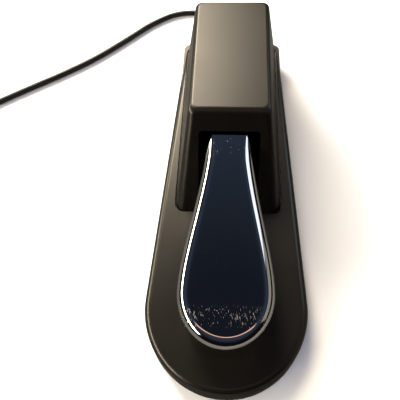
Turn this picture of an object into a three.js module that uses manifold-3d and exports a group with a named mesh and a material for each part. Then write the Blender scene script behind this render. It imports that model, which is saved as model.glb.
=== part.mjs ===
// Piano-style sustain pedal: a sprung foot lever in a moulded case, with its cord and jack plug.
// Millimetres, +Z up. The origin is the centre of the pedal's footprint, on the surface it stands
// on. -Y is the player's end, where the base is round; +Y is the housing, where the cord leaves.

import * as THREE from "three";
import { mergeVertices } from "three/addons/utils/BufferGeometryUtils.js";
import Module from "manifold-3d";

const wasm = await Module();
wasm.setup();

// ---------------------------------------------------------------- driving dimensions

const GAP = 0.3; // between pieces that touch

// Base
const BASE_LENGTH = 246.4;
const BASE_WIDTH = 86.5; // across the round end
const BASE_HEIGHT = 15;
const BASE_WALL = 2.5;
const BASE_EDGE_RADIUS = 3.8; // rounded top edge
const BASE_REAR_CORNER = 19.5;
const BASE_REAR_BORDER = 1.75; // beside the housing at the rear edge
const FRONT_STRETCH = 1.06; // the round end is this much longer than half a circle
const SKIRT_LIFT = 1.2; // the case stands clear of the floor on its mat
const MAT_THICKNESS = 2;
const PLATE_THICKNESS = 1.5;

// Housing
const COVER_HEIGHT = 62.2; // its flat top, above the floor
const COVER_FOOT_WIDTH = 61.4;
const COVER_TOP_WIDTH = 45.2;
const COVER_TOP_LENGTH = 87.2;
const COVER_FRONT_LEAN = 36.4; // how far the front face slopes back
const COVER_REAR_LEAN = 11.2;
const COVER_REAR_MARGIN = 10.4; // base behind the housing
const COVER_WALL = 2.2;
const COVER_EDGE_RADII = { front: 5, side: 2.8, rear: 2 }; // along the top's edges
const COVER_INNER_RADIUS = 0.5; // at least, along the hollow's top edges
const COVER_FOOT_CORNER = 5.5;
const COVER_TOP_CORNER = 3.6;
const SLOT_WIDTH = 34.4;
const SLOT_HEADROOM = 1.5; // above the lever, where it enters the slot
const RECESS_DEPTH = 2; // the housing's foot sits in a shallow recess
const RECESS_CLEARANCE = 0.7;

// Lever
const LEVER_WIDTH = 48.2;
const LEVER_NECK_WIDTH = 23.6;
const LEVER_DEPTH = 10;
const LEVER_WALL = 1.8;
const LEVER_TIP_MARGIN = 19.6; // base in front of the tip
const LEVER_TIP_DROP = 23.2; // its top face at the tip, below the housing's top
const LEVER_LANDING = 1.5; // left under the tip when it is pressed home
const LEVER_PITCH = THREE.MathUtils.degToRad(5.9); // it slopes down to the tip
const LEVER_TIP_STRETCH = 1.12; // the spoon's end is this much longer than half a circle
const LEVER_SHOULDER = 6.3; // width of the rolled shoulder on the spoon
const NECK_SHOULDER = 2.1; // and where the neck enters the slot
const LEVER_BOSS_RADIUS = 4.2;
const LEVER_BOSS_HEIGHT = 4;

// Pivot and arm
const PIVOT_SETBACK = 40.8; // ahead of the housing's rear foot
const HUB_CLEARANCE = 1.5; // above the contact switch
const AXLE_RADIUS = 3;
const AXLE_CLEARANCE = 0.1; // running fit, radial
const BUSH_WALL = 1.4;
const BUSH_FLANGE = 1.2;
const ARM_WIDTH = 18;
const ARM_THICKNESS = 5;
const HUB_RADIUS = 7.5;
const TAIL_LENGTH = 18; // behind the pivot
const TAIL_RISE = 0.8; // of its underside above the hub's

// Bracket
const BRACKET_SHEET = 1.5;
const EAR_LENGTH = 18;
const EAR_RISE = 9; // above the pivot
const CLIP_THICKNESS = 1;
const CLIP_RIM = 2; // outside the axle
const GROOVE_DEPTH = 0.7;

// Return spring and stops
const SPRING_SETFORWARD = 32; // ahead of the pivot
const SPRING_RADIUS = 7;
const SPRING_WIRE = 0.9; // wire radius
const SPRING_TURNS = 8;
const SPRING_RIM = 2.4; // of its seat and cap, outside the spring
const SPRING_DISC = 1.5; // thickness of its seat and cap
const STOP_SETFORWARD = 52;
const STOP_RADIUS = 5.5;
const UP_STOP_PLAY = 0.25; // left above the rear stop at rest
const PAD_THICKNESS = 5;

// Contact switch
const STRIKER_SETFORWARD = 14;
const STRIKER_HALF = 1.5; // half of its square section
const NOSE_RADIUS = 1.5;
const PLUNGER_PROUD = 1.2; // above the switch body, at rest
const SWITCH_SIZE = new THREE.Vector3(6.4, 19.8, 10.2);
const SWITCH_SHARE = 0.4; // of its length, ahead of the plunger
const PLUNGER_RADIUS = 1.2;
const PLUNGER_LENGTH = 3.8;
const PLUNGER_TRAVEL = 1;
const BOARD_THICKNESS = 1.6;

// Polarity switch, reached from below
const POLARITY_SIZE = new THREE.Vector3(12, 6, 5);
const POLARITY_KNOB = new THREE.Vector3(3, 3, 4.4);
const POLARITY_TRAVEL = 3;
const POLARITY_MARGIN = 19.2; // from the base's rear edge

// Screws
const SCREW_HEAD_RADIUS = 3.1;
const SCREW_HEAD_HEIGHT = 1.4;
const SCREW_SHANK_RADIUS = 1.4;
const BOSS_RADIUS = 3.6;

// Cord and plug
const CORD_RADIUS = 2;
const CORD_EXIT_HEIGHT = 20;
const RELIEF_LENGTH = 22;
const RELIEF_RADIUS = 4.1;
const COIL_RADII = { inner: 12, outer: 32 };
const COIL_HEIGHT = 7.5;
const COIL_CENTRE = new THREE.Vector2(-191.3, 15.2);
const COIL_TAIL_ANGLE = THREE.MathUtils.degToRad(195); // where the cord leaves the coil
const TIE_WIDTH = 6;
const TIE_THICKNESS = 0.9;
const TIE_ANGLE = THREE.MathUtils.degToRad(-35);
const PLUG_GRIP_RADIUS = 5.8;
const PLUG_JACK_RADIUS = 3.175; // 6.35 mm jack

// ---------------------------------------------------------------- derived places

const baseFront = -BASE_LENGTH / 2;
const baseRear = BASE_LENGTH / 2;
const seatZ = BASE_HEIGHT - RECESS_DEPTH; // recess floor
const coverFootZ = seatZ + GAP;
const plateBottom = MAT_THICKNESS + GAP;
const plateTop = plateBottom + PLATE_THICKNESS;
const coverRearFoot = baseRear - COVER_REAR_MARGIN;
const coverRearTop = coverRearFoot - COVER_REAR_LEAN;
const coverFrontTop = coverRearTop - COVER_TOP_LENGTH;
const coverFrontFoot = coverFrontTop - COVER_FRONT_LEAN;
const pivotY = coverRearFoot - PIVOT_SETBACK;
const leverTipY = baseFront + LEVER_TIP_MARGIN;
const bracketFloorTop = plateTop + GAP + BRACKET_SHEET;
const boardBottom = bracketFloorTop + GAP;
const boardTop = boardBottom + BOARD_THICKNESS;
const switchBottom = boardTop + GAP;
const switchTop = switchBottom + SWITCH_SIZE.z;
const pivotHeight = switchTop + HUB_CLEARANCE + HUB_RADIUS;

// Lever coordinates: y forwards is negative and z up, from the pivot, before it is pitched.
const tipReach = (pivotY - leverTipY) / Math.cos(LEVER_PITCH);
const leverTop = (COVER_HEIGHT - LEVER_TIP_DROP - pivotHeight) / Math.cos(LEVER_PITCH)
  + (pivotY - leverTipY) * Math.tan(LEVER_PITCH);
const armTop = leverTop - LEVER_WALL - LEVER_BOSS_HEIGHT - GAP;
const armBottom = armTop - ARM_THICKNESS;
const tailBottom = TAIL_RISE - HUB_RADIUS;
const leverTravel = travelToLanding();

// The striker's nose stands on the plunger, which stands proud of the switch body.
const noseZ = (switchTop + PLUNGER_PROUD + GAP + NOSE_RADIUS - pivotHeight
  + STRIKER_SETFORWARD * Math.sin(LEVER_PITCH)) / Math.cos(LEVER_PITCH);

/** Height above the floor of a point on the lever, given in lever coordinates, when pressed by an angle. */
function leverHeight(y, z, pressed = 0) {
  const angle = LEVER_PITCH + pressed;
  return pivotHeight + y * Math.sin(angle) + z * Math.cos(angle);
}

/** The angle that brings the rim at the tip down to its landing gap above the base. */
function travelToLanding() {
  const rim = new THREE.Vector2(tipReach, leverTop - LEVER_DEPTH);
  const landing = BASE_HEIGHT + LEVER_LANDING - pivotHeight;
  return Math.acos(landing / rim.length()) - Math.atan2(rim.x, rim.y) - LEVER_PITCH;
}

// ---------------------------------------------------------------- geometry helpers

/** A closed geometry as a solid that can be joined and cut. */
function toSolid(geometry) {
  const bare = new THREE.BufferGeometry();
  bare.setAttribute("position", geometry.getAttribute("position").clone());
  if (geometry.index) bare.setIndex(geometry.index.clone());
  const merged = mergeVertices(bare, 1e-4);
  const indices = merged.index.array;
  const triangles = [];
  for (let i = 0; i < indices.length; i += 3) {
    const [a, b, c] = [indices[i], indices[i + 1], indices[i + 2]];
    if (a !== b && b !== c && c !== a) triangles.push(a, b, c);
  }
  return new wasm.Manifold(new wasm.Mesh({
    numProp: 3,
    vertProperties: new Float32Array(merged.getAttribute("position").array),
    triVerts: new Uint32Array(triangles),
  }));
}

/** A solid back as a geometry. */
function toGeometry(solid) {
  const mesh = solid.getMesh();
  const geometry = new THREE.BufferGeometry();
  geometry.setAttribute("position", new THREE.BufferAttribute(mesh.vertProperties, 3));
  geometry.setIndex(new THREE.BufferAttribute(mesh.triVerts, 1));
  return geometry;
}

/** The first geometry with others added to it. */
function join(geometry, ...added) {
  return toGeometry(added.reduce((solid, piece) => solid.add(toSolid(piece)), toSolid(geometry)));
}

/** The first geometry with others cut out of it. */
function cut(geometry, ...removed) {
  return toGeometry(removed.reduce((solid, piece) => solid.subtract(toSolid(piece)), toSolid(geometry)));
}

/** A box between two limits on each axis. */
function block([x0, x1], [y0, y1], [z0, z1]) {
  const box = new THREE.BoxGeometry(x1 - x0, y1 - y0, z1 - z0);
  return box.translate((x0 + x1) / 2, (y0 + y1) / 2, (z0 + z1) / 2);
}

/** An upright cylinder at (x, y). */
function post(radius, z0, z1, x = 0, y = 0, sides = 16) {
  const cylinder = new THREE.CylinderGeometry(radius, radius, z1 - z0, sides);
  return cylinder.rotateX(Math.PI / 2).translate(x, y, (z0 + z1) / 2);
}

/** A cylinder along X at (y, z). */
function rod(radius, x0, x1, y = 0, z = 0, sides = 20) {
  const cylinder = new THREE.CylinderGeometry(radius, radius, x1 - x0, sides);
  return cylinder.rotateZ(Math.PI / 2).translate((x0 + x1) / 2, y, z);
}

/** A turned solid on the Z axis, from [radius, height] points with the outside going up. */
function turned(profile, sides = 20) {
  const points = profile.map(([radius, height]) => new THREE.Vector2(radius, height));
  return new THREE.LatheGeometry(points, sides).rotateX(Math.PI / 2);
}

/** A tube of a regular section along a smooth curve through points. */
function tube(points, radius, sides, steps) {
  const section = new THREE.Shape(Array.from({ length: sides }, (_, k) => {
    const angle = (2 * Math.PI * k) / sides;
    return new THREE.Vector2(radius * Math.cos(angle), radius * Math.sin(angle));
  }));
  const path = new THREE.CatmullRomCurve3(points.map((p) => new THREE.Vector3(...p)), false, "centripetal");
  return new THREE.ExtrudeGeometry(section, { steps, extrudePath: path });
}

/** A plate of a YZ outline, across X. */
function profilePlate(outline, halfWidth) {
  const shape = new THREE.Shape(outline.map(([y, z]) => new THREE.Vector2(y, z)));
  const plate = new THREE.ExtrudeGeometry(shape, { depth: 2 * halfWidth, bevelEnabled: false });
  const axes = new THREE.Matrix4().makeBasis(
    new THREE.Vector3(0, 1, 0), new THREE.Vector3(0, 0, 1), new THREE.Vector3(1, 0, 0));
  return plate.applyMatrix4(axes).translate(-halfWidth, 0, 0);
}

/** A closed skin over rings of [x, y, z] points, bottom ring first, each anticlockwise from above. */
function loft(rings) {
  const count = rings[0].length;
  const positions = rings.flat(2);
  const triangles = [];
  for (let level = 0; level + 1 < rings.length; level++) {
    for (let k = 0; k < count; k++) {
      const a = level * count + k;
      const b = level * count + ((k + 1) % count);
      triangles.push(a, b, b + count, a, b + count, a + count);
    }
  }
  const flat = (ring) => ring.map(([x, y]) => new THREE.Vector2(x, y));
  for (const [a, b, c] of THREE.ShapeUtils.triangulateShape(flat(rings[0]), [])) triangles.push(c, b, a);
  const top = (rings.length - 1) * count;
  for (const [a, b, c] of THREE.ShapeUtils.triangulateShape(flat(rings.at(-1)), [])) {
    triangles.push(top + a, top + b, top + c);
  }
  const geometry = new THREE.BufferGeometry();
  geometry.setAttribute("position", new THREE.Float32BufferAttribute(positions, 3));
  geometry.setIndex(triangles);
  return geometry;
}

/** Points of an arc about (x, y), from one angle to another in degrees. */
function arc(x, y, radiusX, radiusY, from, to, steps) {
  return Array.from({ length: steps + 1 }, (_, k) => {
    const angle = THREE.MathUtils.degToRad(from + ((to - from) * k) / steps);
    return [x + radiusX * Math.cos(angle), y + radiusY * Math.sin(angle)];
  });
}

// ---------------------------------------------------------------- base

const rearHalfWidth = COVER_FOOT_WIDTH / 2 + BASE_REAR_BORDER;
const frontHalfWidth = BASE_WIDTH / 2;
const frontCentreY = baseFront + FRONT_STRETCH * frontHalfWidth;
const sideTaper = Math.atan((frontHalfWidth - rearHalfWidth) / (baseRear - frontCentreY));

/** The base's outline, drawn in by an inset: a round end, tapering sides and two rear corners. */
function baseRing(inset, z) {
  const taper = THREE.MathUtils.radToDeg(sideTaper);
  const corner = BASE_REAR_CORNER;
  const cornerX = rearHalfWidth - corner / Math.cos(sideTaper) + corner * Math.tan(sideTaper);
  const cornerY = baseRear - corner;
  const radiusX = frontHalfWidth - inset;
  const radiusY = FRONT_STRETCH * frontHalfWidth - inset;
  const rounding = corner - inset;
  const outline = [
    ...arc(0, frontCentreY, radiusX, radiusY, 180 - taper, 360 + taper, 34),
    ...arc(cornerX, cornerY, rounding, rounding, taper, 90, 5),
    ...arc(-cornerX, cornerY, rounding, rounding, 90, 180 - taper, 5),
  ];
  return outline.map(([x, y]) => [x, y, z]);
}

const outerScrews = [
  [0, baseFront + 15],
  [-0.76 * frontHalfWidth, frontCentreY + 15],
  [0.76 * frontHalfWidth, frontCentreY + 15],
  [-(rearHalfWidth - 12), baseRear - 10.5],
  [rearHalfWidth - 12, baseRear - 10.5],
];
const coverBossX = COVER_FOOT_WIDTH / 2 - 8.2;
const coverScrews = [
  [-coverBossX, coverFrontFoot + 27],
  [coverBossX, coverFrontFoot + 27],
  [-coverBossX, coverRearFoot - 17],
  [coverBossX, coverRearFoot - 17],
];
const bottomScrews = [...outerScrews, ...coverScrews];
const polarityY = baseRear - POLARITY_MARGIN;

/** The bracket's floor in plan, and the hole through the base's top that lets the mechanism stand in it. */
const bracketFront = pivotY - STOP_SETFORWARD - 12;
const bracketRear = pivotY + TAIL_LENGTH + 9;
const earInside = ARM_WIDTH / 2 + GAP + BUSH_FLANGE + GAP;
const bracketHalfWidth = earInside + BRACKET_SHEET;

function makeBaseShell() {
  const edge = BASE_EDGE_RADIUS;
  const rings = [baseRing(0, SKIRT_LIFT)];
  for (let k = 0; k <= 4; k++) {
    const angle = (Math.PI / 2) * (k / 4);
    rings.push(baseRing(edge * (1 - Math.cos(angle)), BASE_HEIGHT - edge + edge * Math.sin(angle)));
  }
  const innerEdge = edge - BASE_WALL;
  const hollow = loft([
    baseRing(BASE_WALL, SKIRT_LIFT - 1),
    baseRing(BASE_WALL, BASE_HEIGHT - BASE_WALL - innerEdge),
    baseRing(BASE_WALL + innerEdge, BASE_HEIGHT - BASE_WALL),
  ]);
  const floorUnder = seatZ - BASE_WALL;
  const recessFloor = coverPlan(RECESS_CLEARANCE + BASE_WALL, floorUnder, floorUnder + BASE_WALL + 1);
  const recess = coverPlan(RECESS_CLEARANCE, seatZ, BASE_HEIGHT + 1);
  const bosses = outerScrews.map(([x, y]) => post(BOSS_RADIUS, plateTop + GAP, BASE_HEIGHT - 1, x, y));
  const sleeves = coverScrews.map(([x, y]) => post(BOSS_RADIUS, plateTop + GAP, floorUnder + 1, x, y));
  const threads = outerScrews.map(([x, y]) => post(SCREW_SHANK_RADIUS + GAP, 0, floorUnder, x, y, 8));
  const passages = coverScrews.map(([x, y]) => post(SCREW_SHANK_RADIUS + GAP, 0, BASE_HEIGHT + 1, x, y, 8));
  const well = block(
    [-bracketHalfWidth - 1, bracketHalfWidth + 1],
    [bracketFront - 2, bracketRear + 0.5],
    [0, BASE_HEIGHT + 1]);
  const shell = join(cut(loft(rings), hollow), recessFloor, ...bosses, ...sleeves);
  return cut(shell, recess, ...threads, ...passages, well);
}

/** An upright prism of the housing's foot outline, spread outwards. */
function coverPlan(spread, z0, z1) {
  const ring = (z) => roundedRing(
    COVER_FOOT_WIDTH / 2 + spread, coverFrontFoot - spread, coverRearFoot + spread, COVER_FOOT_CORNER, z);
  return loft([ring(z0), ring(z1)]);
}

function makeBottomPlate() {
  const plate = loft([baseRing(BASE_WALL + GAP, plateBottom), baseRing(BASE_WALL + GAP, plateTop)]);
  const holes = [...bottomScrews, ...bracketScrews].map(
    ([x, y]) => post(SCREW_SHANK_RADIUS + GAP, 0, plateTop + 1, x, y, 8));
  return cut(plate, ...holes, polarityWindow());
}

function makeRubberMat() {
  const mat = loft([baseRing(BASE_WALL + GAP, 0), baseRing(BASE_WALL + GAP, MAT_THICKNESS)]);
  const holes = bottomScrews.map(([x, y]) => post(SCREW_HEAD_RADIUS + 1, -1, MAT_THICKNESS + 1, x, y, 16));
  return cut(mat, ...holes, polarityWindow());
}

function polarityWindow() {
  const halfX = (POLARITY_KNOB.x + POLARITY_TRAVEL) / 2 + 0.6;
  const halfY = POLARITY_KNOB.y / 2 + 0.6;
  return block([-halfX, halfX], [polarityY - halfY, polarityY + halfY], [-1, plateTop + 1]);
}

// ---------------------------------------------------------------- housing

/** A rectangle with round corners, anticlockwise. */
function roundedRing(halfWidth, front, rear, corner, z) {
  const x = halfWidth - corner;
  const outline = [
    ...arc(x, rear - corner, corner, corner, 0, 90, 4),
    ...arc(-x, rear - corner, corner, corner, 90, 180, 4),
    ...arc(-x, front + corner, corner, corner, 180, 270, 4),
    ...arc(x, front + corner, corner, corner, 270, 360, 4),
  ];
  return outline.map(([px, py]) => [px, py, z]);
}

/** How far a leaning wall has come in at a height, rounding over into the flat top. */
function leanInset(z, lean, top, radius) {
  const slope = lean / (COVER_HEIGHT - coverFootZ);
  const tilt = Math.atan(slope);
  const centreZ = top - radius;
  const centre = slope * (centreZ - coverFootZ) + radius / Math.cos(tilt);
  if (z <= centreZ + radius * Math.sin(tilt)) return slope * (z - coverFootZ);
  return centre - Math.sqrt(Math.max(0, radius ** 2 - (z - centreZ) ** 2));
}

/** The housing's solid, drawn in by a wall: zero gives the outside and COVER_WALL the hollow. */
function coverSolid(wall, footZ) {
  const top = COVER_HEIGHT - wall;
  const { front, side, rear } = COVER_EDGE_RADII;
  const [frontRadius, sideRadius, rearRadius] = [front, side, rear].map(
    (radius) => Math.max(radius - wall, COVER_INNER_RADIUS));
  const sideLean = (COVER_FOOT_WIDTH - COVER_TOP_WIDTH) / 2;
  const heights = [footZ];
  for (let k = 0; k <= 8; k++) heights.push(top - frontRadius + frontRadius * Math.sin((Math.PI / 2) * (k / 8)));
  const run = (lean) => wall / Math.cos(Math.atan(lean / (COVER_HEIGHT - coverFootZ)));
  return loft(heights.map((z) => {
    const share = Math.min(1, Math.max(0, (z - coverFootZ) / (COVER_HEIGHT - coverFootZ)));
    const corner = THREE.MathUtils.lerp(COVER_FOOT_CORNER, COVER_TOP_CORNER, share) - wall;
    return roundedRing(
      COVER_FOOT_WIDTH / 2 - run(sideLean) - leanInset(z, sideLean, top, sideRadius),
      coverFrontFoot + run(COVER_FRONT_LEAN) + leanInset(z, COVER_FRONT_LEAN, top, frontRadius),
      coverRearFoot - run(COVER_REAR_LEAN) - leanInset(z, COVER_REAR_LEAN, top, rearRadius),
      Math.max(corner, 0.8),
      z);
  }));
}

function makeHousingCover() {
  const shell = cut(coverSolid(0, coverFootZ), coverSolid(COVER_WALL, coverFootZ - 1));
  const bossTop = coverFootZ + 0.55 * (COVER_HEIGHT - coverFootZ);
  const bosses = coverScrews.map(([x, y]) => post(BOSS_RADIUS, coverFootZ, bossTop, x, y));
  const threads = coverScrews.map(([x, y]) => post(SCREW_SHANK_RADIUS + GAP, 0, coverFootZ + 14, x, y, 8));
  const slotHalf = SLOT_WIDTH / 2;
  const slotTop = leverHeight(coverFrontTop - pivotY, leverTop) + SLOT_HEADROOM;
  const slot = block([-slotHalf, slotHalf], [coverFrontFoot - 10, coverFrontTop + 8], [0, slotTop]);
  const cordHole = rodY(RELIEF_RADIUS - 0.8 + GAP, coverRearTop, baseRear, 0, CORD_EXIT_HEIGHT);
  return cut(join(shell, ...bosses), ...threads, slot, cordHole);
}

/** A cylinder along Y at (x, z). */
function rodY(radius, y0, y1, x, z, sides = 20) {
  return new THREE.CylinderGeometry(radius, radius, y1 - y0, sides).translate(x, (y0 + y1) / 2, z);
}

// ---------------------------------------------------------------- lever, in lever coordinates

const neckEnd = -SPRING_SETFORWARD + 5; // inside the housing
const neckStart = coverFrontTop - pivotY + 9; // the flare begins here
const spoonRadius = LEVER_WIDTH / 2;
const tipY = -tipReach;
const spoonCentre = tipY + LEVER_TIP_STRETCH * spoonRadius;

/** Half of the lever's outline, from the neck's inner end to the widest part of the spoon. */
function leverSide() {
  const flare = new THREE.CubicBezierCurve(
    new THREE.Vector2(LEVER_NECK_WIDTH / 2, neckStart),
    new THREE.Vector2(LEVER_NECK_WIDTH / 2, THREE.MathUtils.lerp(neckStart, spoonCentre, 0.444)),
    new THREE.Vector2(spoonRadius, THREE.MathUtils.lerp(neckStart, spoonCentre, 0.771)),
    new THREE.Vector2(spoonRadius, spoonCentre));
  return [new THREE.Vector2(LEVER_NECK_WIDTH / 2, neckEnd), ...flare.getPoints(11)];
}

/** The open outline, left side first, with the outward normal at each point. */
function leverOutline() {
  const side = leverSide();
  const tip = arc(0, spoonCentre, spoonRadius, spoonCentre - tipY, 180, 360, 22).slice(1, -1);
  const points = [
    ...side.map((p) => new THREE.Vector2(-p.x, p.y)),
    ...tip.map(([x, y]) => new THREE.Vector2(x, y)),
    ...side.toReversed(),
  ];
  return points.map((point, k) => {
    if (k < 2) return { point, normal: new THREE.Vector2(-1, 0) };
    if (k > points.length - 3) return { point, normal: new THREE.Vector2(1, 0) };
    const along = points[k + 1].clone().sub(points[k - 1]).normalize();
    return { point, normal: new THREE.Vector2(along.y, -along.x) };
  });
}

/** The pressed lever: a top face with rolled shoulders and a skirt, open below and at its rear end. */
function leverShell() {
  const outline = leverOutline();
  const count = outline.length;
  const skin = (wall) => {
    const rings = [];
    const steps = 4;
    for (let k = -1; k <= steps; k++) {
      rings.push(outline.map(({ point, normal }) => {
        const flare = THREE.MathUtils.smoothstep(-point.y, -neckStart, -neckStart + 30);
        const shoulder = THREE.MathUtils.lerp(NECK_SHOULDER, LEVER_SHOULDER, flare);
        const fall = THREE.MathUtils.lerp(3, 5.5, flare);
        const angle = (Math.PI / 2) * (Math.max(k, 0) / steps);
        const inset = wall + shoulder * (1 - Math.cos(angle));
        const drop = k < 0 ? LEVER_DEPTH : wall + fall * (1 - Math.sin(angle));
        return [point.x - normal.x * inset, point.y - normal.y * inset, leverTop - drop];
      }));
    }
    return rings;
  };
  const outer = skin(0);
  const inner = skin(LEVER_WALL);
  const rings = [...outer, ...inner.toReversed()];
  const positions = rings.flat(2);
  const index = (ring, k) => ring * count + k;
  const triangles = [];
  const strip = (low, high) => {
    for (let k = 0; k + 1 < count; k++) {
      triangles.push(index(low, k), index(low, k + 1), index(high, k + 1));
      triangles.push(index(low, k), index(high, k + 1), index(high, k));
    }
  };
  for (let ring = 0; ring + 1 < outer.length; ring++) strip(ring, ring + 1);
  for (let ring = outer.length; ring + 1 < rings.length; ring++) strip(ring, ring + 1);
  strip(rings.length - 1, 0);
  const plate = (ring, flip) => {
    const flat = rings[ring].map(([x, y]) => new THREE.Vector2(x, y));
    for (const [a, b, c] of THREE.ShapeUtils.triangulateShape(flat, [])) {
      const corners = flip ? [c, b, a] : [a, b, c];
      triangles.push(...corners.map((corner) => index(ring, corner)));
    }
  };
  plate(outer.length - 1, false);
  plate(outer.length, true);
  const rim = [];
  for (let ring = 0; ring < outer.length; ring++) rim.push(index(ring, count - 1));
  for (let ring = outer.length - 1; ring >= 0; ring--) rim.push(index(ring, 0));
  for (let ring = rings.length - 1; ring >= outer.length; ring--) rim.push(index(ring, 0));
  for (let ring = outer.length; ring < rings.length; ring++) rim.push(index(ring, count - 1));
  const face = rim.map((corner) => new THREE.Vector2(positions[3 * corner], positions[3 * corner + 2]));
  for (const [a, b, c] of THREE.ShapeUtils.triangulateShape(face, [])) {
    triangles.push(rim[c], rim[b], rim[a]);
  }
  const geometry = new THREE.BufferGeometry();
  geometry.setAttribute("position", new THREE.Float32BufferAttribute(positions, 3));
  geometry.setIndex(triangles);
  return geometry;
}

const leverScrews = [neckStart - 34, neckStart - 16];

function makeLeverCap() {
  const roof = leverTop - LEVER_WALL;
  const bosses = leverScrews.map((y) => post(LEVER_BOSS_RADIUS, armTop + GAP, roof + 0.5, 0, y));
  const threads = leverScrews.map((y) => post(SCREW_SHANK_RADIUS + GAP, armTop, roof - GAP, 0, y, 8));
  return cut(join(leverShell(), ...bosses), ...threads);
}

function makeLeverArm() {
  const bend = -SPRING_SETFORWARD + 10;
  const front = leverScrews[0] - 8;
  const outline = [
    [front, armBottom],
    [bend, armBottom],
    [-0.8 * HUB_RADIUS, -0.65 * HUB_RADIUS],
    [TAIL_LENGTH, tailBottom],
    [TAIL_LENGTH, tailBottom + ARM_THICKNESS],
    [0.5 * HUB_RADIUS, 0.8 * HUB_RADIUS],
    [-0.5 * HUB_RADIUS, 0.85 * HUB_RADIUS],
    [bend + 3, armTop],
    [front, armTop],
  ];
  const bar = profilePlate(outline, ARM_WIDTH / 2);
  const hub = rod(HUB_RADIUS, -ARM_WIDTH / 2, ARM_WIDTH / 2);
  const striker = block(
    [-STRIKER_HALF, STRIKER_HALF],
    [-STRIKER_SETFORWARD - STRIKER_HALF, -STRIKER_SETFORWARD + STRIKER_HALF],
    [noseZ, 0.5 * armBottom]);
  const nose = rod(NOSE_RADIUS, -STRIKER_HALF, STRIKER_HALF, -STRIKER_SETFORWARD, noseZ, 16);
  const bore = rod(AXLE_RADIUS + AXLE_CLEARANCE + BUSH_WALL + GAP, -ARM_WIDTH, ARM_WIDTH);
  const holes = leverScrews.map((y) => post(SCREW_SHANK_RADIUS + GAP, armBottom - 1, armTop + 1, 0, y, 8));
  return cut(join(bar, hub, striker, nose), bore, ...holes);
}

function makeBush(side) {
  const reach = ARM_WIDTH / 2 + GAP;
  const outer = AXLE_RADIUS + AXLE_CLEARANCE + BUSH_WALL;
  const span = (from, to) => (side > 0 ? [from, to] : [-to, -from]);
  const sleeve = rod(outer, ...span(0.5, reach + 0.1));
  const flange = rod(outer + 2, ...span(reach, reach + BUSH_FLANGE));
  return cut(join(sleeve, flange), rod(AXLE_RADIUS + AXLE_CLEARANCE, -ARM_WIDTH, ARM_WIDTH));
}

function makeSpringCap() {
  const top = armBottom - GAP;
  const disc = post(SPRING_RADIUS + SPRING_RIM, top - SPRING_DISC, top, 0, -SPRING_SETFORWARD);
  const spigot = post(SPRING_RADIUS - SPRING_WIRE - 1, top - 5, top - 1, 0, -SPRING_SETFORWARD);
  return join(disc, spigot);
}

// ---------------------------------------------------------------- pivot bracket and stops

const springY = pivotY - SPRING_SETFORWARD * Math.cos(LEVER_PITCH) - armBottom * Math.sin(LEVER_PITCH);
const stopY = pivotY - STOP_SETFORWARD * Math.cos(LEVER_PITCH) - armBottom * Math.sin(LEVER_PITCH);
const downStopTop = leverHeight(-STOP_SETFORWARD - STOP_RADIUS - 1, armBottom, leverTravel) - GAP;
const upStopY = pivotY + TAIL_LENGTH - 6;
const upStopTop = leverHeight(TAIL_LENGTH - 11, tailBottom) - UP_STOP_PLAY - GAP;
const bracketScrews = [
  [-9.3, stopY + 9],
  [9.3, stopY + 9],
  [-9.3, bracketRear - 4],
  [9.3, bracketRear - 4],
];

function makeBracket() {
  const floorBottom = plateTop + GAP;
  const floor = block([-bracketHalfWidth, bracketHalfWidth], [bracketFront, bracketRear],
    [floorBottom, bracketFloorTop]);
  const earTop = pivotHeight + EAR_RISE;
  const ears = [-1, 1].map((side) => block(
    side > 0 ? [earInside, bracketHalfWidth] : [-bracketHalfWidth, -earInside],
    [pivotY - EAR_LENGTH / 2, pivotY + EAR_LENGTH / 2],
    [floorBottom, earTop]));
  const stopPost = post(STOP_RADIUS - 1, bracketFloorTop - 0.5, downStopTop - PAD_THICKNESS - GAP, 0, stopY);
  const stopTab = block([-8, 8], [upStopY - 4, upStopY + 4],
    [bracketFloorTop - 0.5, upStopTop - PAD_THICKNESS - GAP]);
  const bores = rod(AXLE_RADIUS + GAP, -bracketHalfWidth - 1, bracketHalfWidth + 1, pivotY, pivotHeight);
  const holes = bracketScrews.map(
    ([x, y]) => post(SCREW_SHANK_RADIUS + GAP, 0, bracketFloorTop + 1, x, y, 8));
  return cut(join(floor, ...ears, stopPost, stopTab), bores, ...holes);
}

function makeAxle() {
  const end = bracketHalfWidth + CLIP_THICKNESS + 2 * GAP + 1.2;
  const groove = bracketHalfWidth + GAP;
  const neck = AXLE_RADIUS - GROOVE_DEPTH;
  const profile = [
    [0, -end], [AXLE_RADIUS, -end], [AXLE_RADIUS, -groove - CLIP_THICKNESS - GAP],
    [neck, -groove - CLIP_THICKNESS - GAP], [neck, -groove], [AXLE_RADIUS, -groove],
    [AXLE_RADIUS, groove], [neck, groove], [neck, groove + CLIP_THICKNESS + GAP],
    [AXLE_RADIUS, groove + CLIP_THICKNESS + GAP], [AXLE_RADIUS, end], [0, end],
  ];
  return turned(profile, 20).rotateY(Math.PI / 2).translate(0, pivotY, pivotHeight);
}

function makeAxleClip(side) {
  const x = side * (bracketHalfWidth + GAP + CLIP_THICKNESS / 2 + GAP / 2);
  const half = CLIP_THICKNESS / 2;
  const disc = rod(AXLE_RADIUS + CLIP_RIM, x - half, x + half, pivotY, pivotHeight);
  const bore = rod(AXLE_RADIUS - GROOVE_DEPTH + 0.25, x - 2, x + 2, pivotY, pivotHeight);
  const mouth = block([x - 2, x + 2], [pivotY - 1.6, pivotY + 1.6], [pivotHeight, pivotHeight + 9]);
  return cut(disc, bore, mouth);
}

function makeSpringSeat() {
  const z = bracketFloorTop + GAP;
  const disc = post(SPRING_RADIUS + SPRING_RIM, z, z + SPRING_DISC, 0, springY);
  return join(disc, post(SPRING_RADIUS - SPRING_WIRE - 1, z + 1, z + 6, 0, springY));
}

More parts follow.
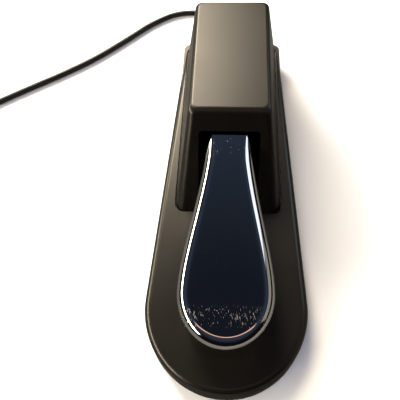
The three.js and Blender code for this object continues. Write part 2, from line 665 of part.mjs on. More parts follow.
function makeReturnSpring() {
  const low = bracketFloorTop + GAP + SPRING_DISC + GAP + SPRING_WIRE;
  const capFront = -SPRING_SETFORWARD - SPRING_RADIUS - SPRING_RIM;
  const high = leverHeight(capFront, armBottom - GAP - SPRING_DISC) - GAP - SPRING_WIRE;
  const steps = SPRING_TURNS * 10;
  const points = Array.from({ length: steps + 1 }, (_, k) => {
    const share = k / steps;
    const angle = 2 * Math.PI * SPRING_TURNS * share;
    return [
      SPRING_RADIUS * Math.cos(angle),
      springY + SPRING_RADIUS * Math.sin(angle),
      THREE.MathUtils.lerp(low, high, share),
    ];
  });
  return tube(points, SPRING_WIRE, 5, steps);
}

// ---------------------------------------------------------------- contacts

const strikerY = pivotY - STRIKER_SETFORWARD;
const plungerTop = leverHeight(-STRIKER_SETFORWARD, noseZ) - NOSE_RADIUS - GAP;

function makeSwitchBody() {
  const front = strikerY - SWITCH_SHARE * SWITCH_SIZE.y;
  const half = SWITCH_SIZE.x / 2;
  const body = block([-half, half], [front, front + SWITCH_SIZE.y], [switchBottom, switchTop]);
  const depth = plungerTop - PLUNGER_LENGTH - PLUNGER_TRAVEL - 0.6;
  return cut(body, post(PLUNGER_RADIUS + GAP, depth, switchTop + 1, 0, strikerY, 16));
}

function makePlunger() {
  const low = plungerTop - PLUNGER_LENGTH;
  const profile = [
    [0, low], [PLUNGER_RADIUS, low], [PLUNGER_RADIUS, plungerTop - 0.5],
    [PLUNGER_RADIUS - 0.5, plungerTop], [0, plungerTop],
  ];
  return turned(profile, 16).translate(0, strikerY, 0);
}

function makeCircuitBoard() {
  const half = ARM_WIDTH / 2;
  return block([-half, half], [springY + SPRING_RADIUS + 3, upStopY - 5], [boardBottom, boardTop]);
}

function makePolarityBody() {
  const half = POLARITY_SIZE.clone().multiplyScalar(0.5);
  const bottom = plateTop + GAP;
  const body = block([-half.x, half.x], [polarityY - half.y, polarityY + half.y],
    [bottom, bottom + POLARITY_SIZE.z]);
  const reach = (POLARITY_KNOB.x + POLARITY_TRAVEL) / 2 + 0.4;
  const side = POLARITY_KNOB.y / 2 + 0.4;
  return cut(body, block([-reach, reach], [polarityY - side, polarityY + side], [0, bottom + 2.4]));
}

function makePolaritySlider() {
  const left = -(POLARITY_KNOB.x + POLARITY_TRAVEL) / 2;
  const half = POLARITY_KNOB.y / 2;
  const top = plateTop + GAP + 1.8;
  return block([left, left + POLARITY_KNOB.x], [polarityY - half, polarityY + half],
    [top - POLARITY_KNOB.z, top]);
}

// ---------------------------------------------------------------- cord entry and inner wiring

const rearWallSlope = COVER_REAR_LEAN / (COVER_HEIGHT - coverFootZ);
const rearWallY = coverRearFoot - rearWallSlope * (CORD_EXIT_HEIGHT - coverFootZ);
const reliefLean = rearWallSlope * RELIEF_RADIUS + GAP;
const reliefEnd = rearWallY + reliefLean + RELIEF_LENGTH;
const clampY = coverRearFoot - 13.5;

/** The strain relief: a flange inside the wall, a neck through it and a tapered sleeve outside. */
function makeStrainRelief() {
  const neck = RELIEF_RADIUS - 0.8;
  const bore = CORD_RADIUS + GAP;
  const inside = rearWallY - COVER_WALL - reliefLean - 0.6;
  const outside = rearWallY + reliefLean;
  const profile = [
    [bore, inside - 1.6], [RELIEF_RADIUS, inside - 1.6], [RELIEF_RADIUS, inside], [neck, inside],
    [neck, outside], [RELIEF_RADIUS, outside], [RELIEF_RADIUS, outside + 3],
    [CORD_RADIUS + 1, reliefEnd], [bore, reliefEnd], [bore, inside - 1.6],
  ];
  const points = profile.map(([radius, y]) => new THREE.Vector2(radius, y));
  return new THREE.LatheGeometry(points, 16).translate(0, 0, CORD_EXIT_HEIGHT);
}

function makeInnerCord() {
  return rodY(CORD_RADIUS, clampY - 6, rearWallY + 8, 0, CORD_EXIT_HEIGHT, 12);
}

function makeCableClamp() {
  const top = CORD_EXIT_HEIGHT + CORD_RADIUS + 2.5;
  const saddle = block([-7, 7], [clampY - 3, clampY + 3], [coverFootZ, top]);
  return cut(saddle, rodY(CORD_RADIUS + GAP, clampY - 5, clampY + 5, 0, CORD_EXIT_HEIGHT, 16));
}

function makeLeadWire(side) {
  const points = [
    [side * 1.2, clampY - 6.6, CORD_EXIT_HEIGHT],
    [side * 5, clampY - 8.5, CORD_EXIT_HEIGHT - 1],
    [side * 10.1, upStopY + 3, CORD_EXIT_HEIGHT - 4],
    [side * 10.1, upStopY - 3, boardTop + 5],
    [side * 7.6, upStopY - 8, boardTop + 2.6],
    [side * 6.4, upStopY - 9.5, boardTop + 0.5],
  ];
  return tube(points, 0.6, 6, 14);
}

// ---------------------------------------------------------------- screws

/** A screw whose head is at the bottom and whose shank points up. */
function makeScrew(headBottom, length, headRadius = SCREW_HEAD_RADIUS) {
  const headTop = headBottom + SCREW_HEAD_HEIGHT;
  return turned([
    [0, headBottom], [headRadius - 0.5, headBottom], [headRadius, headBottom + 0.5],
    [headRadius, headTop], [SCREW_SHANK_RADIUS, headTop], [SCREW_SHANK_RADIUS, headTop + length],
    [0, headTop + length + 0.8],
  ], 10);
}

// ---------------------------------------------------------------- free cord, coil and plug

// From the strain relief, down to the floor behind the pedal, round to its left and to the coil.
const cordRoute = [
  [0, 134.3, 20],
  [0, 139, 19.2],
  [-0.8, 145, 15.6],
  [-3.2, 151, 9.6],
  [-7.8, 156.6, 4.4],
  [-14.2, 160.8, 2.4],
  [-22, 163.2, 2.1],
  [-31, 164, 2.1],
  [-40, 163.2, 2.1],
  [-49, 160, 2.1],
  [-57.5, 154.6, 2.1],
  [-66, 147.8, 2.1],
  [-78, 135.8, 2.1],
  [-91, 123.2, 2.1],
  [-105, 110.9, 2.1],
  [-123, 97.8, 2.1],
  [-142, 85.4, 2.1],
  [-160, 73.5, 2.1],
  [-178, 61, 2.1],
  [-194.7, 49.4, 2.1],
];
const cordSteps = 56;

/** One closed ring with the coil's outer shape, let in from below where the tie passes. */
function makeCordCoil() {
  const { inner, outer } = COIL_RADII;
  const soft = 2;
  const ring = turned([
    [inner + soft, 0], [outer - soft, 0], [outer, soft], [outer, COIL_HEIGHT - soft],
    [outer - soft, COIL_HEIGHT], [inner + soft, COIL_HEIGHT], [inner, COIL_HEIGHT - soft],
    [inner, soft], [inner + soft, 0],
  ], 36).translate(COIL_CENTRE.x, COIL_CENTRE.y, 0);
  const half = TIE_WIDTH / 2 + GAP;
  const relief = block([inner - 3, outer + 3], [-half, half], [-1, TIE_THICKNESS + GAP]);
  return cut(ring, relief.rotateZ(TIE_ANGLE).translate(COIL_CENTRE.x, COIL_CENTRE.y, 0));
}

function makeCordTie() {
  const { inner, outer } = COIL_RADII;
  const half = TIE_WIDTH / 2;
  const grow = GAP + TIE_THICKNESS;
  const throat = Math.sqrt(inner ** 2 - half ** 2); // a flat strap across the round hole
  const band = cut(
    block([throat - grow, outer + grow], [-half, half], [0, COIL_HEIGHT + grow]),
    block([throat - GAP, outer + GAP], [-half - 1, half + 1], [TIE_THICKNESS, COIL_HEIGHT + GAP]));
  return band.rotateZ(TIE_ANGLE).translate(COIL_CENTRE.x, COIL_CENTRE.y, 0);
}

const tailRadius = COIL_RADII.outer - 4; // the last turn, at the middle of the cord
const tailStart = Math.sqrt((COIL_RADII.outer + GAP + CORD_RADIUS) ** 2 - tailRadius ** 2);
const tailHeading = new THREE.Vector2(-Math.sin(COIL_TAIL_ANGLE), Math.cos(COIL_TAIL_ANGLE));
const tailTangent = COIL_CENTRE.clone().add(
  new THREE.Vector2(Math.cos(COIL_TAIL_ANGLE), Math.sin(COIL_TAIL_ANGLE)).multiplyScalar(tailRadius));
const tailLength = 34; // from the coil's tangent to the plug

function makeCordTail() {
  const at = (distance) => tailTangent.clone().addScaledVector(tailHeading, distance);
  const points = [tailStart, (tailStart + tailLength) / 2, tailLength].map((distance) => {
    const { x, y } = at(distance);
    return [x, y, PLUG_GRIP_RADIUS + 0.1];
  });
  return tube(points, CORD_RADIUS, 12, 4);
}

/** The plug's pieces, along +Z from the cord, as [name, profile, material]. */
function plugPieces() {
  const bore = CORD_RADIUS + GAP;
  const grip = PLUG_GRIP_RADIUS;
  const jack = PLUG_JACK_RADIUS;
  return {
    plug_boot: [[bore, -8], [CORD_RADIUS + 0.9, -8], [grip - 1.6, 9], [grip - 1.6, 12], [0, 12], [0, 1],
      [bore, 1], [bore, -8]],
    plug_grip: [[0, 12 + GAP], [grip - 0.8, 12 + GAP], [grip, 14], [grip, 38], [grip - 1.2, 40], [0, 40]],
    plug_sleeve: [[0, 40 + GAP], [jack + 1.2, 40 + GAP], [jack + 1.2, 42], [jack, 42], [jack, 62], [0, 62]],
    plug_insulator: [[0, 62 + GAP], [jack - 0.1, 62 + GAP], [jack - 0.1, 63.4], [0, 63.4]],
    plug_tip: [[0, 63.4 + GAP], [jack - 0.4, 63.4 + GAP], [jack, 65], [jack - 1.1, 67], [jack - 0.9, 68],
      [jack - 0.1, 69.4], [1.2, 72.6], [0, 72.9]],
  };
}

// ---------------------------------------------------------------- finishes

const finish = (color, roughness, metalness = 0) =>
  new THREE.MeshStandardMaterial({ color, roughness, metalness });
const blackPlastic = finish(0x242422, 0.45);
const rubber = finish(0x161616, 0.9);
const chrome = finish(0xd8dade, 0.06, 1);
const zincSteel = finish(0x9a9da0, 0.4, 1);
const springSteel = finish(0x7f8286, 0.3, 1);
const brass = finish(0xb59a5a, 0.35, 1);
const acetal = finish(0xe8e6df, 0.5);
const felt = finish(0x2b3a33, 0.95);
const laminate = finish(0x1f5c3a, 0.5);
const switchPlastic = finish(0x1b1b1d, 0.5);
const redPlastic = finish(0x9c2a22, 0.5);
const cordPlastic = finish(0x0f0f10, 0.55);
const nickel = finish(0xc9c7c2, 0.18, 1);

// ---------------------------------------------------------------- assembly

const pedal = new THREE.Group();

function add(parent, name, geometry, material) {
  const mesh = new THREE.Mesh(geometry, material);
  mesh.name = name;
  parent.add(mesh);
  return mesh;
}

add(pedal, "rubber_mat", makeRubberMat(), rubber);
add(pedal, "bottom_plate", makeBottomPlate(), zincSteel);
add(pedal, "base_shell", makeBaseShell(), blackPlastic);
add(pedal, "housing_cover", makeHousingCover(), blackPlastic);

const lever = new THREE.Group();
lever.position.set(0, pivotY, pivotHeight);
lever.rotation.x = LEVER_PITCH;
pedal.add(lever);
add(lever, "lever_cap", makeLeverCap(), chrome);
add(lever, "lever_arm", makeLeverArm(), zincSteel);
add(lever, "pivot_bush_left", makeBush(-1), acetal);
add(lever, "pivot_bush_right", makeBush(1), acetal);
add(lever, "spring_cap", makeSpringCap(), acetal);
leverScrews.forEach((y, k) => {
  const screw = add(lever, `lever_screw_${k + 1}`, makeScrew(0, ARM_THICKNESS + 3.2), zincSteel);
  screw.position.set(0, y, armBottom - GAP - SCREW_HEAD_HEIGHT);
});

add(pedal, "pivot_bracket", makeBracket(), zincSteel);
add(pedal, "pivot_axle", makeAxle(), springSteel);
add(pedal, "axle_clip_left", makeAxleClip(-1), springSteel);
add(pedal, "axle_clip_right", makeAxleClip(1), springSteel);
add(pedal, "spring_seat", makeSpringSeat(), acetal);
add(pedal, "return_spring", makeReturnSpring(), springSteel);
add(pedal, "down_stop_pad", post(STOP_RADIUS, downStopTop - PAD_THICKNESS, downStopTop, 0, stopY), rubber);
add(pedal, "up_stop_pad",
  block([-7, 7], [upStopY - 3.6, upStopY + 3.6], [upStopTop - PAD_THICKNESS, upStopTop]), felt);

add(pedal, "circuit_board", makeCircuitBoard(), laminate);
add(pedal, "switch_body", makeSwitchBody(), switchPlastic);
add(pedal, "switch_plunger", makePlunger(), redPlastic);
add(pedal, "polarity_switch", makePolarityBody(), switchPlastic);
add(pedal, "polarity_slider", makePolaritySlider(), acetal);

add(pedal, "strain_relief", makeStrainRelief(), rubber);
add(pedal, "cable_clamp", makeCableClamp(), acetal);
add(pedal, "inner_cord", makeInnerCord(), cordPlastic);
add(pedal, "lead_wire_left", makeLeadWire(-1), redPlastic);
add(pedal, "lead_wire_right", makeLeadWire(1), switchPlastic);

const headBottom = plateBottom - GAP - SCREW_HEAD_HEIGHT;
outerScrews.forEach(([x, y], k) => {
  const screw = add(pedal, `base_screw_${k + 1}`, makeScrew(0, 7.5), zincSteel);
  screw.position.set(x, y, headBottom);
});
coverScrews.forEach(([x, y], k) => {
  const screw = add(pedal, `housing_screw_${k + 1}`, makeScrew(0, seatZ + 8 - headBottom), zincSteel);
  screw.position.set(x, y, headBottom);
});
bracketScrews.forEach(([x, y], k) => {
  const screw = add(pedal, `bracket_screw_${k + 1}`, makeScrew(0, 2.2, 2.4), brass);
  screw.rotation.x = Math.PI;
  screw.position.set(x, y, bracketFloorTop + GAP + SCREW_HEAD_HEIGHT);
});

add(pedal, "cord", tube(cordRoute, CORD_RADIUS, 8, cordSteps), cordPlastic);
add(pedal, "cord_coil", makeCordCoil(), cordPlastic);
add(pedal, "cord_tie", makeCordTie(), switchPlastic);
add(pedal, "cord_tail", makeCordTail(), cordPlastic);

// The plug lies along the cord's tail: its group lays +Z down, and the outer one turns it to the heading.
const plugStart = tailTangent.clone().addScaledVector(tailHeading, tailLength + GAP + 8);
const heading = new THREE.Group();
heading.position.set(plugStart.x, plugStart.y, 0);
heading.rotation.z = Math.atan2(tailHeading.y, tailHeading.x) - Math.PI / 2;
pedal.add(heading);
const plug = new THREE.Group();
plug.position.z = PLUG_GRIP_RADIUS + 0.1;
plug.rotation.x = -Math.PI / 2;
heading.add(plug);
const plugMaterials = {
  plug_boot: rubber,
  plug_grip: blackPlastic,
  plug_sleeve: nickel,
  plug_insulator: switchPlastic,
  plug_tip: nickel,
};
for (const [name, profile] of Object.entries(plugPieces())) {
  add(plug, name, turned(profile, 16), plugMaterials[name]);
}

export default pedal;
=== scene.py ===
"""Looks of a piano-style sustain pedal: a sprung, chromed foot lever in a moulded case, with cord and plug.

Lengths in the code are millimetres and become metres where a mesh is made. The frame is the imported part's
own: +Z up, the player's end at -Y, and the origin at the centre of the footprint, on the floor.
"""

import logging
import math
from collections.abc import Callable, Iterator
from contextlib import contextmanager
from dataclasses import dataclass, field
from enum import Enum

import bmesh
import bpy
from mathutils import Matrix, Vector

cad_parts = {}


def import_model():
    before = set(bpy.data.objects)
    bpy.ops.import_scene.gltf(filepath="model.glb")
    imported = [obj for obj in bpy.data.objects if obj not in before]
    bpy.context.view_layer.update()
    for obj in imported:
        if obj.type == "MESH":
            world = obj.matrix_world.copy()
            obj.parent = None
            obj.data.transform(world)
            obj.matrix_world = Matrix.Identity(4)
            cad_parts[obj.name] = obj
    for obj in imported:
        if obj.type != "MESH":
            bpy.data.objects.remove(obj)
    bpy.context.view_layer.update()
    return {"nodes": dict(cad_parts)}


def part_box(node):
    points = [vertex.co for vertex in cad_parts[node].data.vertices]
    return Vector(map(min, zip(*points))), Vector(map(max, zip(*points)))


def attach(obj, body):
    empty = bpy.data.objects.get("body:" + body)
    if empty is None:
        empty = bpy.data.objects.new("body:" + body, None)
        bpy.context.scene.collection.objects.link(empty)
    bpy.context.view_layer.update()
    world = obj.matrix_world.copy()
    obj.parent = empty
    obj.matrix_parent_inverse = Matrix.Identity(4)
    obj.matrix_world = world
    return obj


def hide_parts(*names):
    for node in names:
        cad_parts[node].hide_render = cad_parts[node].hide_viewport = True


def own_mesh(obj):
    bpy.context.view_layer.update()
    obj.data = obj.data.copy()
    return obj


LOG = logging.getLogger("pedal")
MM = 0.001
GAP = 0.3  # between pieces that touch
SAME = 1e-6  # metres within which two points are one
FLAT_DEGREES = 0.05  # faces that bend less than this are one face
LEVER_PITCH = math.radians(5.9)  # the lever slopes down to its tip

Pair = tuple[float, float]
Point = tuple[float, float, float]
Ring = list[Point]
Object, Material = bpy.types.Object, bpy.types.Material
Tree, Node, Socket = bpy.types.NodeTree, bpy.types.Node, bpy.types.NodeSocket

MATH, VECTOR_MATH, MIX = "ShaderNodeMath", "ShaderNodeVectorMath", "ShaderNodeMix"
RANGE, COMBINE = "ShaderNodeMapRange", "ShaderNodeCombineXYZ"


# ---------------------------------------------------------------- colour and nodes


def linear(hex_colour: str) -> tuple[float, float, float, float]:
    """Turn an sRGB colour to linear RGBA.

    Args:
        hex_colour: The colour as "#rrggbb".

    Returns:
        Linear red, green, blue and an alpha of one.
    """
    channels = [int(hex_colour[start : start + 2], 16) / 255 for start in (1, 3, 5)]
    return (*(c / 12.92 if c <= 0.04045 else ((c + 0.055) / 1.055) ** 2.4 for c in channels), 1.0)


def add_node(tree: Tree, kind: str, settings: dict | None = None, links: dict | None = None) -> Node:
    """Add one node with its settings and links.

    Args:
        tree: The node tree of a material, a world or a modifier.
        kind: The node's type name.
        settings: Values by input name, input number or property name; "stops" are a ramp's pairs.
        links: The output socket for each input name or number.

    Returns:
        The new node.
    """
    node = tree.nodes.new(kind)
    for key, value in (settings or {}).items():
        if key == "stops":
            while len(node.color_ramp.elements) < len(value):
                node.color_ramp.elements.new(0.5)
            for stop, (place, colour) in zip(node.color_ramp.elements, value):
                stop.position, stop.color = place, colour
        elif isinstance(key, str) and key not in node.inputs:
            setattr(node, key, value)
        else:
            node.inputs[key].default_value = value
    for key, source in (links or {}).items():
        tree.links.new(source, node.inputs[key])
    return node


def empty_tree(owner: bpy.types.ID) -> Tree:
    """Give a material or a world an empty node tree.

    Args:
        owner: The material or world.

    Returns:
        Its tree.
    """
    owner.use_nodes = True
    owner.node_tree.nodes.clear()
    return owner.node_tree


# ---------------------------------------------------------------- finishes


@dataclass(frozen=True)
class Finish:
    """A real material and how its surface was made, with a fine grain in its gloss and relief."""

    name: str
    colour: str
    shade: str  # the second colour of its slight unevenness
    roughness: float
    metallic: float = 0.0
    ior: float = 1.5
    grain_mm: float = 0.6
    grain_depth_mm: float = 0.01
    patch_mm: float = 25.0  # size of the uneven patches

    def material(self) -> Material:
        """Make the material once.

        Returns:
            The Blender material of this finish.
        """
        made = bpy.data.materials.get(self.name)
        if made is not None:
            return made
        made = bpy.data.materials.new(self.name)
        tree = empty_tree(made)
        place = add_node(tree, "ShaderNodeTexCoord").outputs["Object"]
        shader = add_node(tree, "ShaderNodeBsdfPrincipled",
                          {"Metallic": self.metallic, "Roughness": self.roughness})
        if not self.metallic:
            shader.inputs["IOR"].default_value = self.ior
        add_node(tree, "ShaderNodeOutputMaterial", links={"Surface": shader.outputs["BSDF"]})
        self.dress(tree, place, shader)
        return made

    def noise(self, tree: Tree, place: Socket, size_mm: float, detail: float = 2.0,
              stretch: Point = (1.0, 1.0, 1.0)) -> Socket:
        """Add a noise of a real size.

        Args:
            tree: The material's nodes.
            place: Object coordinates.
            size_mm: Width of one blotch.
            detail: Octaves of finer noise.
            stretch: Frequency factor on each axis.

        Returns:
            The noise's value socket.
        """
        scaled = add_node(tree, "ShaderNodeMapping", {"Scale": stretch}, {"Vector": place})
        return add_node(tree, "ShaderNodeTexNoise", {"Scale": 1 / (size_mm * MM), "Detail": detail},
                        {"Vector": scaled.outputs["Vector"]}).outputs["Fac"]

    def spread(self, tree: Tree, value: Socket, source: Pair,
               target: Pair) -> Socket:
        """Map a range of values to another, smoothly and clamped.

        Args:
            tree: The material's nodes.
            value: What is mapped.
            source: Its low and high values.
            target: What they become.

        Returns:
            The mapped value's socket.
        """
        return add_node(tree, RANGE, {
            "interpolation_type": "SMOOTHSTEP", "From Min": source[0], "From Max": source[1],
            "To Min": target[0], "To Max": target[1]}, {"Value": value}).outputs["Result"]

    def relief(self, tree: Tree, height: Socket, depth_mm: float,
               shader: Node, strength: float = 1.0) -> None:
        """Raise the surface by a height pattern.

        Args:
            tree: The material's nodes.
            height: The pattern, zero to one.
            depth_mm: Its real depth.
            shader: The surface shader.
            strength: How much of the relief shows.
        """
        bump = add_node(tree, "ShaderNodeBump", {"Strength": strength, "Distance": depth_mm * MM},
                        {"Height": height})
        tree.links.new(bump.outputs["Normal"], shader.inputs["Normal"])

    def two_tone(self, tree: Tree, factor: Socket, first: str, second: str) -> Socket:
        """Mix two colours.

        Args:
            tree: The material's nodes.
            factor: The share of the second colour.
            first: The colour at zero.
            second: The colour at one.

        Returns:
            The mixed colour's socket.
        """
        return add_node(tree, MIX, {"data_type": "RGBA", 6: linear(first), 7: linear(second)},
                        {0: factor}).outputs[2]

    def dress(self, tree: Tree, place: Socket, shader: Node) -> None:
        """Add the finish's own patterns.

        Args:
            tree: The material's nodes.
            place: Object coordinates.
            shader: The surface shader.
        """
        patches = self.noise(tree, place, self.patch_mm, 3.0)
        grain = self.noise(tree, place, self.grain_mm)
        tree.links.new(self.two_tone(tree, patches, self.colour, self.shade), shader.inputs["Base Color"])
        low, high = self.roughness * 0.85, min(1.0, self.roughness * 1.15)
        tree.links.new(self.spread(tree, patches, (0.3, 0.7), (low, high)), shader.inputs["Roughness"])
        self.relief(tree, grain, self.grain_depth_mm, shader)


@dataclass(frozen=True)
class TexturedPlastic(Finish):
    """Injection-moulded ABS from a spark-eroded mould: fine matt grain, rubbed glossier and dusty in places."""

    dust: str = "#6f6a5e"
    dust_share: float = 0.05
    dust_mm: float = 2.4
    rubbed_gloss: float = 0.015  # how far rubbing moves the roughness either way

    def dress(self, tree: Tree, place: Socket, shader: Node) -> None:
        """Grain as relief, broad rubbed patches in the gloss, and sparse dust specks in the colour.

        Args:
            tree: The material's nodes.
            place: Object coordinates.
            shader: The surface shader.
        """
        patches = self.noise(tree, place, self.patch_mm, 1.5)
        grain = self.noise(tree, place, self.grain_mm, 3.0)
        specks = self.noise(tree, place, self.dust_mm, 1.0)
        body = self.two_tone(tree, patches, self.colour, self.shade)
        lint = self.spread(tree, specks, (0.74, 0.8), (0.0, self.dust_share))
        dusty = add_node(tree, MIX, {"data_type": "RGBA", 7: linear(self.dust)}, {0: lint, 6: body})
        tree.links.new(dusty.outputs[2], shader.inputs["Base Color"])
        low, high = self.roughness - self.rubbed_gloss, self.roughness + self.rubbed_gloss
        rubbed = self.spread(tree, patches, (0.3, 0.7), (low, high))
        tree.links.new(rubbed, shader.inputs["Roughness"])
        self.relief(tree, grain, self.grain_depth_mm, shader, 0.6)


@dataclass(frozen=True)
class ChromePlate(Finish):
    """Bright chromium over polished zinc: a mirror with rub marks, where grit under a sole drew short strokes."""

    tread_y_mm: float = -92.0  # middle of the worn band across the tread
    neck_y_mm: float = 1.5  # middle of the specks beside the slot
    mark_mm: float = 1.0  # width of one mark before its stretch; real ones are finer than the view can show
    mark_depth_mm: float = 0.004
    mark_roughness: float = 0.5
    scratch_angles: Pair = (14.0, -22.0)

    def dress(self, tree: Tree, place: Socket, shader: Node) -> None:
        """Smears in the gloss, a band of strokes across the tread, faint scratches, and specks at the neck.

        Args:
            tree: The material's nodes.
            place: Object coordinates.
            shader: The surface shader.
        """
        along = add_node(tree, "ShaderNodeSeparateXYZ", links={"Vector": place}).outputs["Y"]
        smear = self.noise(tree, place, 16.0, 4.0)
        tread = self.band(tree, along, self.tread_y_mm, 3.0, 4.0)
        pattern = self.noise(tree, place, self.mark_mm, 2.0, (2.4, 0.5, 1.0))
        strokes = self.spread(tree, pattern, (0.6, 0.68), (0.0, 0.9))
        neck = self.band(tree, along, self.neck_y_mm, 4.0, 8.0)
        pattern = self.noise(tree, place, self.mark_mm, 2.0, (1.4, 1.1, 1.0))
        specks = self.spread(tree, pattern, (0.66, 0.72), (0.0, 0.5))
        marks = add_node(tree, MATH, {"operation": "MULTIPLY"}, {0: tread, 1: strokes}).outputs[0]
        spots = add_node(tree, MATH, {"operation": "MULTIPLY"}, {0: neck, 1: specks}).outputs[0]
        marks = add_node(tree, MATH, {"operation": "MAXIMUM"}, {0: marks, 1: spots}).outputs[0]
        for degrees in self.scratch_angles:
            turned = add_node(tree, "ShaderNodeMapping", {"Rotation": (0, 0, math.radians(degrees))},
                              {"Vector": place}).outputs["Vector"]
            pattern = self.noise(tree, turned, self.mark_mm, 1.0, (4.0, 0.11, 0.5))
            fine = self.spread(tree, pattern, (0.74, 0.8), (0.0, 0.3))
            marks = add_node(tree, MATH, {"operation": "MAXIMUM"}, {0: marks, 1: fine}).outputs[0]
        gloss = self.spread(tree, smear, (0.35, 0.7), (self.roughness * 0.6, self.roughness * 1.6))
        rough = add_node(tree, MIX, {"data_type": "FLOAT", 3: self.mark_roughness},
                         {0: marks, 2: gloss}).outputs[0]
        tree.links.new(rough, shader.inputs["Roughness"])
        tree.links.new(self.two_tone(tree, smear, self.colour, self.shade), shader.inputs["Base Color"])
        self.relief(tree, marks, self.mark_depth_mm, shader, 0.5)

    def band(self, tree: Tree, along: Socket, middle_mm: float, half_mm: float,
             fade_mm: float) -> Socket:
        """A soft band across the lever.

        Args:
            tree: The material's nodes.
            along: The coordinate along the lever.
            middle_mm: The band's middle.
            half_mm: Half of its full width.
            fade_mm: How far it fades beyond.

        Returns:
            One inside the band, zero outside.
        """
        offset = add_node(tree, MATH, {"operation": "SUBTRACT", 1: middle_mm * MM}, {0: along})
        away = add_node(tree, MATH, {"operation": "ABSOLUTE"}, {0: offset.outputs[0]}).outputs[0]
        return self.spread(tree, away, (half_mm * MM, (half_mm + fade_mm) * MM), (1.0, 0.0))


@dataclass(frozen=True)
class BrushedMetal(Finish):
    """Plated sheet, wire or turned stock: fine lines from rolling or the lathe, and a cloudy plating."""

    stretch: Point = (0.15, 2.0, 2.0)  # lines run along X unless told

    def dress(self, tree: Tree, place: Socket, shader: Node) -> None:
        """Lines as relief and cloudiness as colour and gloss.

        Args:
            tree: The material's nodes.
            place: Object coordinates.
            shader: The surface shader.
        """
        cloud = self.noise(tree, place, self.patch_mm, 3.0)
        lines = self.noise(tree, place, self.grain_mm, 2.0, self.stretch)
        tree.links.new(self.two_tone(tree, cloud, self.colour, self.shade), shader.inputs["Base Color"])
        low, high = self.roughness * 0.75, self.roughness * 1.3
        tree.links.new(self.spread(tree, lines, (0.3, 0.7), (low, high)), shader.inputs["Roughness"])
        self.relief(tree, lines, self.grain_depth_mm, shader, 0.5)


@dataclass(frozen=True)
class WoolFelt(Finish):
    """Pressed wool felt: matted fibres about 0.3 mm apart, soft at grazing angles."""

    def dress(self, tree: Tree, place: Socket, shader: Node) -> None:
        """Two crossing fibre noises and a sheen.

        Args:
            tree: The material's nodes.
            place: Object coordinates.
            shader: The surface shader.
        """
        along = self.noise(tree, place, 0.5, 3.0, (0.3, 1.5, 1.0))
        across = self.noise(tree, place, 0.5, 3.0, (1.5, 0.3, 1.0))
        fibres = add_node(tree, MATH, {"operation": "MAXIMUM"}, {0: along, 1: across}).outputs[0]
        shader.inputs["Sheen Weight"].default_value = 0.4
        tree.links.new(self.two_tone(tree, fibres, self.shade, self.colour), shader.inputs["Base Color"])
        self.relief(tree, fibres, 0.25, shader)


@dataclass(frozen=True)
class CircuitLaminate(Finish):
    """Glass-epoxy board under a green solder mask, with copper tracks showing as a paler pattern."""

    track: str = "#3f9a63"
    track_half_mm: float = 0.5
    track_length_mm: float = 7.0
    track_pitch_mm: float = 3.2

    def dress(self, tree: Tree, place: Socket, shader: Node) -> None:
        """Tracks 1 mm wide, as the joints of a brick pattern.

        Args:
            tree: The material's nodes.
            place: Object coordinates.
            shader: The surface shader.
        """
        tracks = add_node(tree, "ShaderNodeTexBrick", {
            "Color1": linear(self.colour), "Color2": linear(self.shade), "Mortar": linear(self.track),
            "Scale": 1.0, "Mortar Size": self.track_half_mm * MM, "Brick Width": self.track_length_mm * MM,
            "Row Height": self.track_pitch_mm * MM}, {"Vector": place})
        tree.links.new(tracks.outputs["Color"], shader.inputs["Base Color"])
        self.relief(tree, tracks.outputs["Fac"], 0.04, shader)


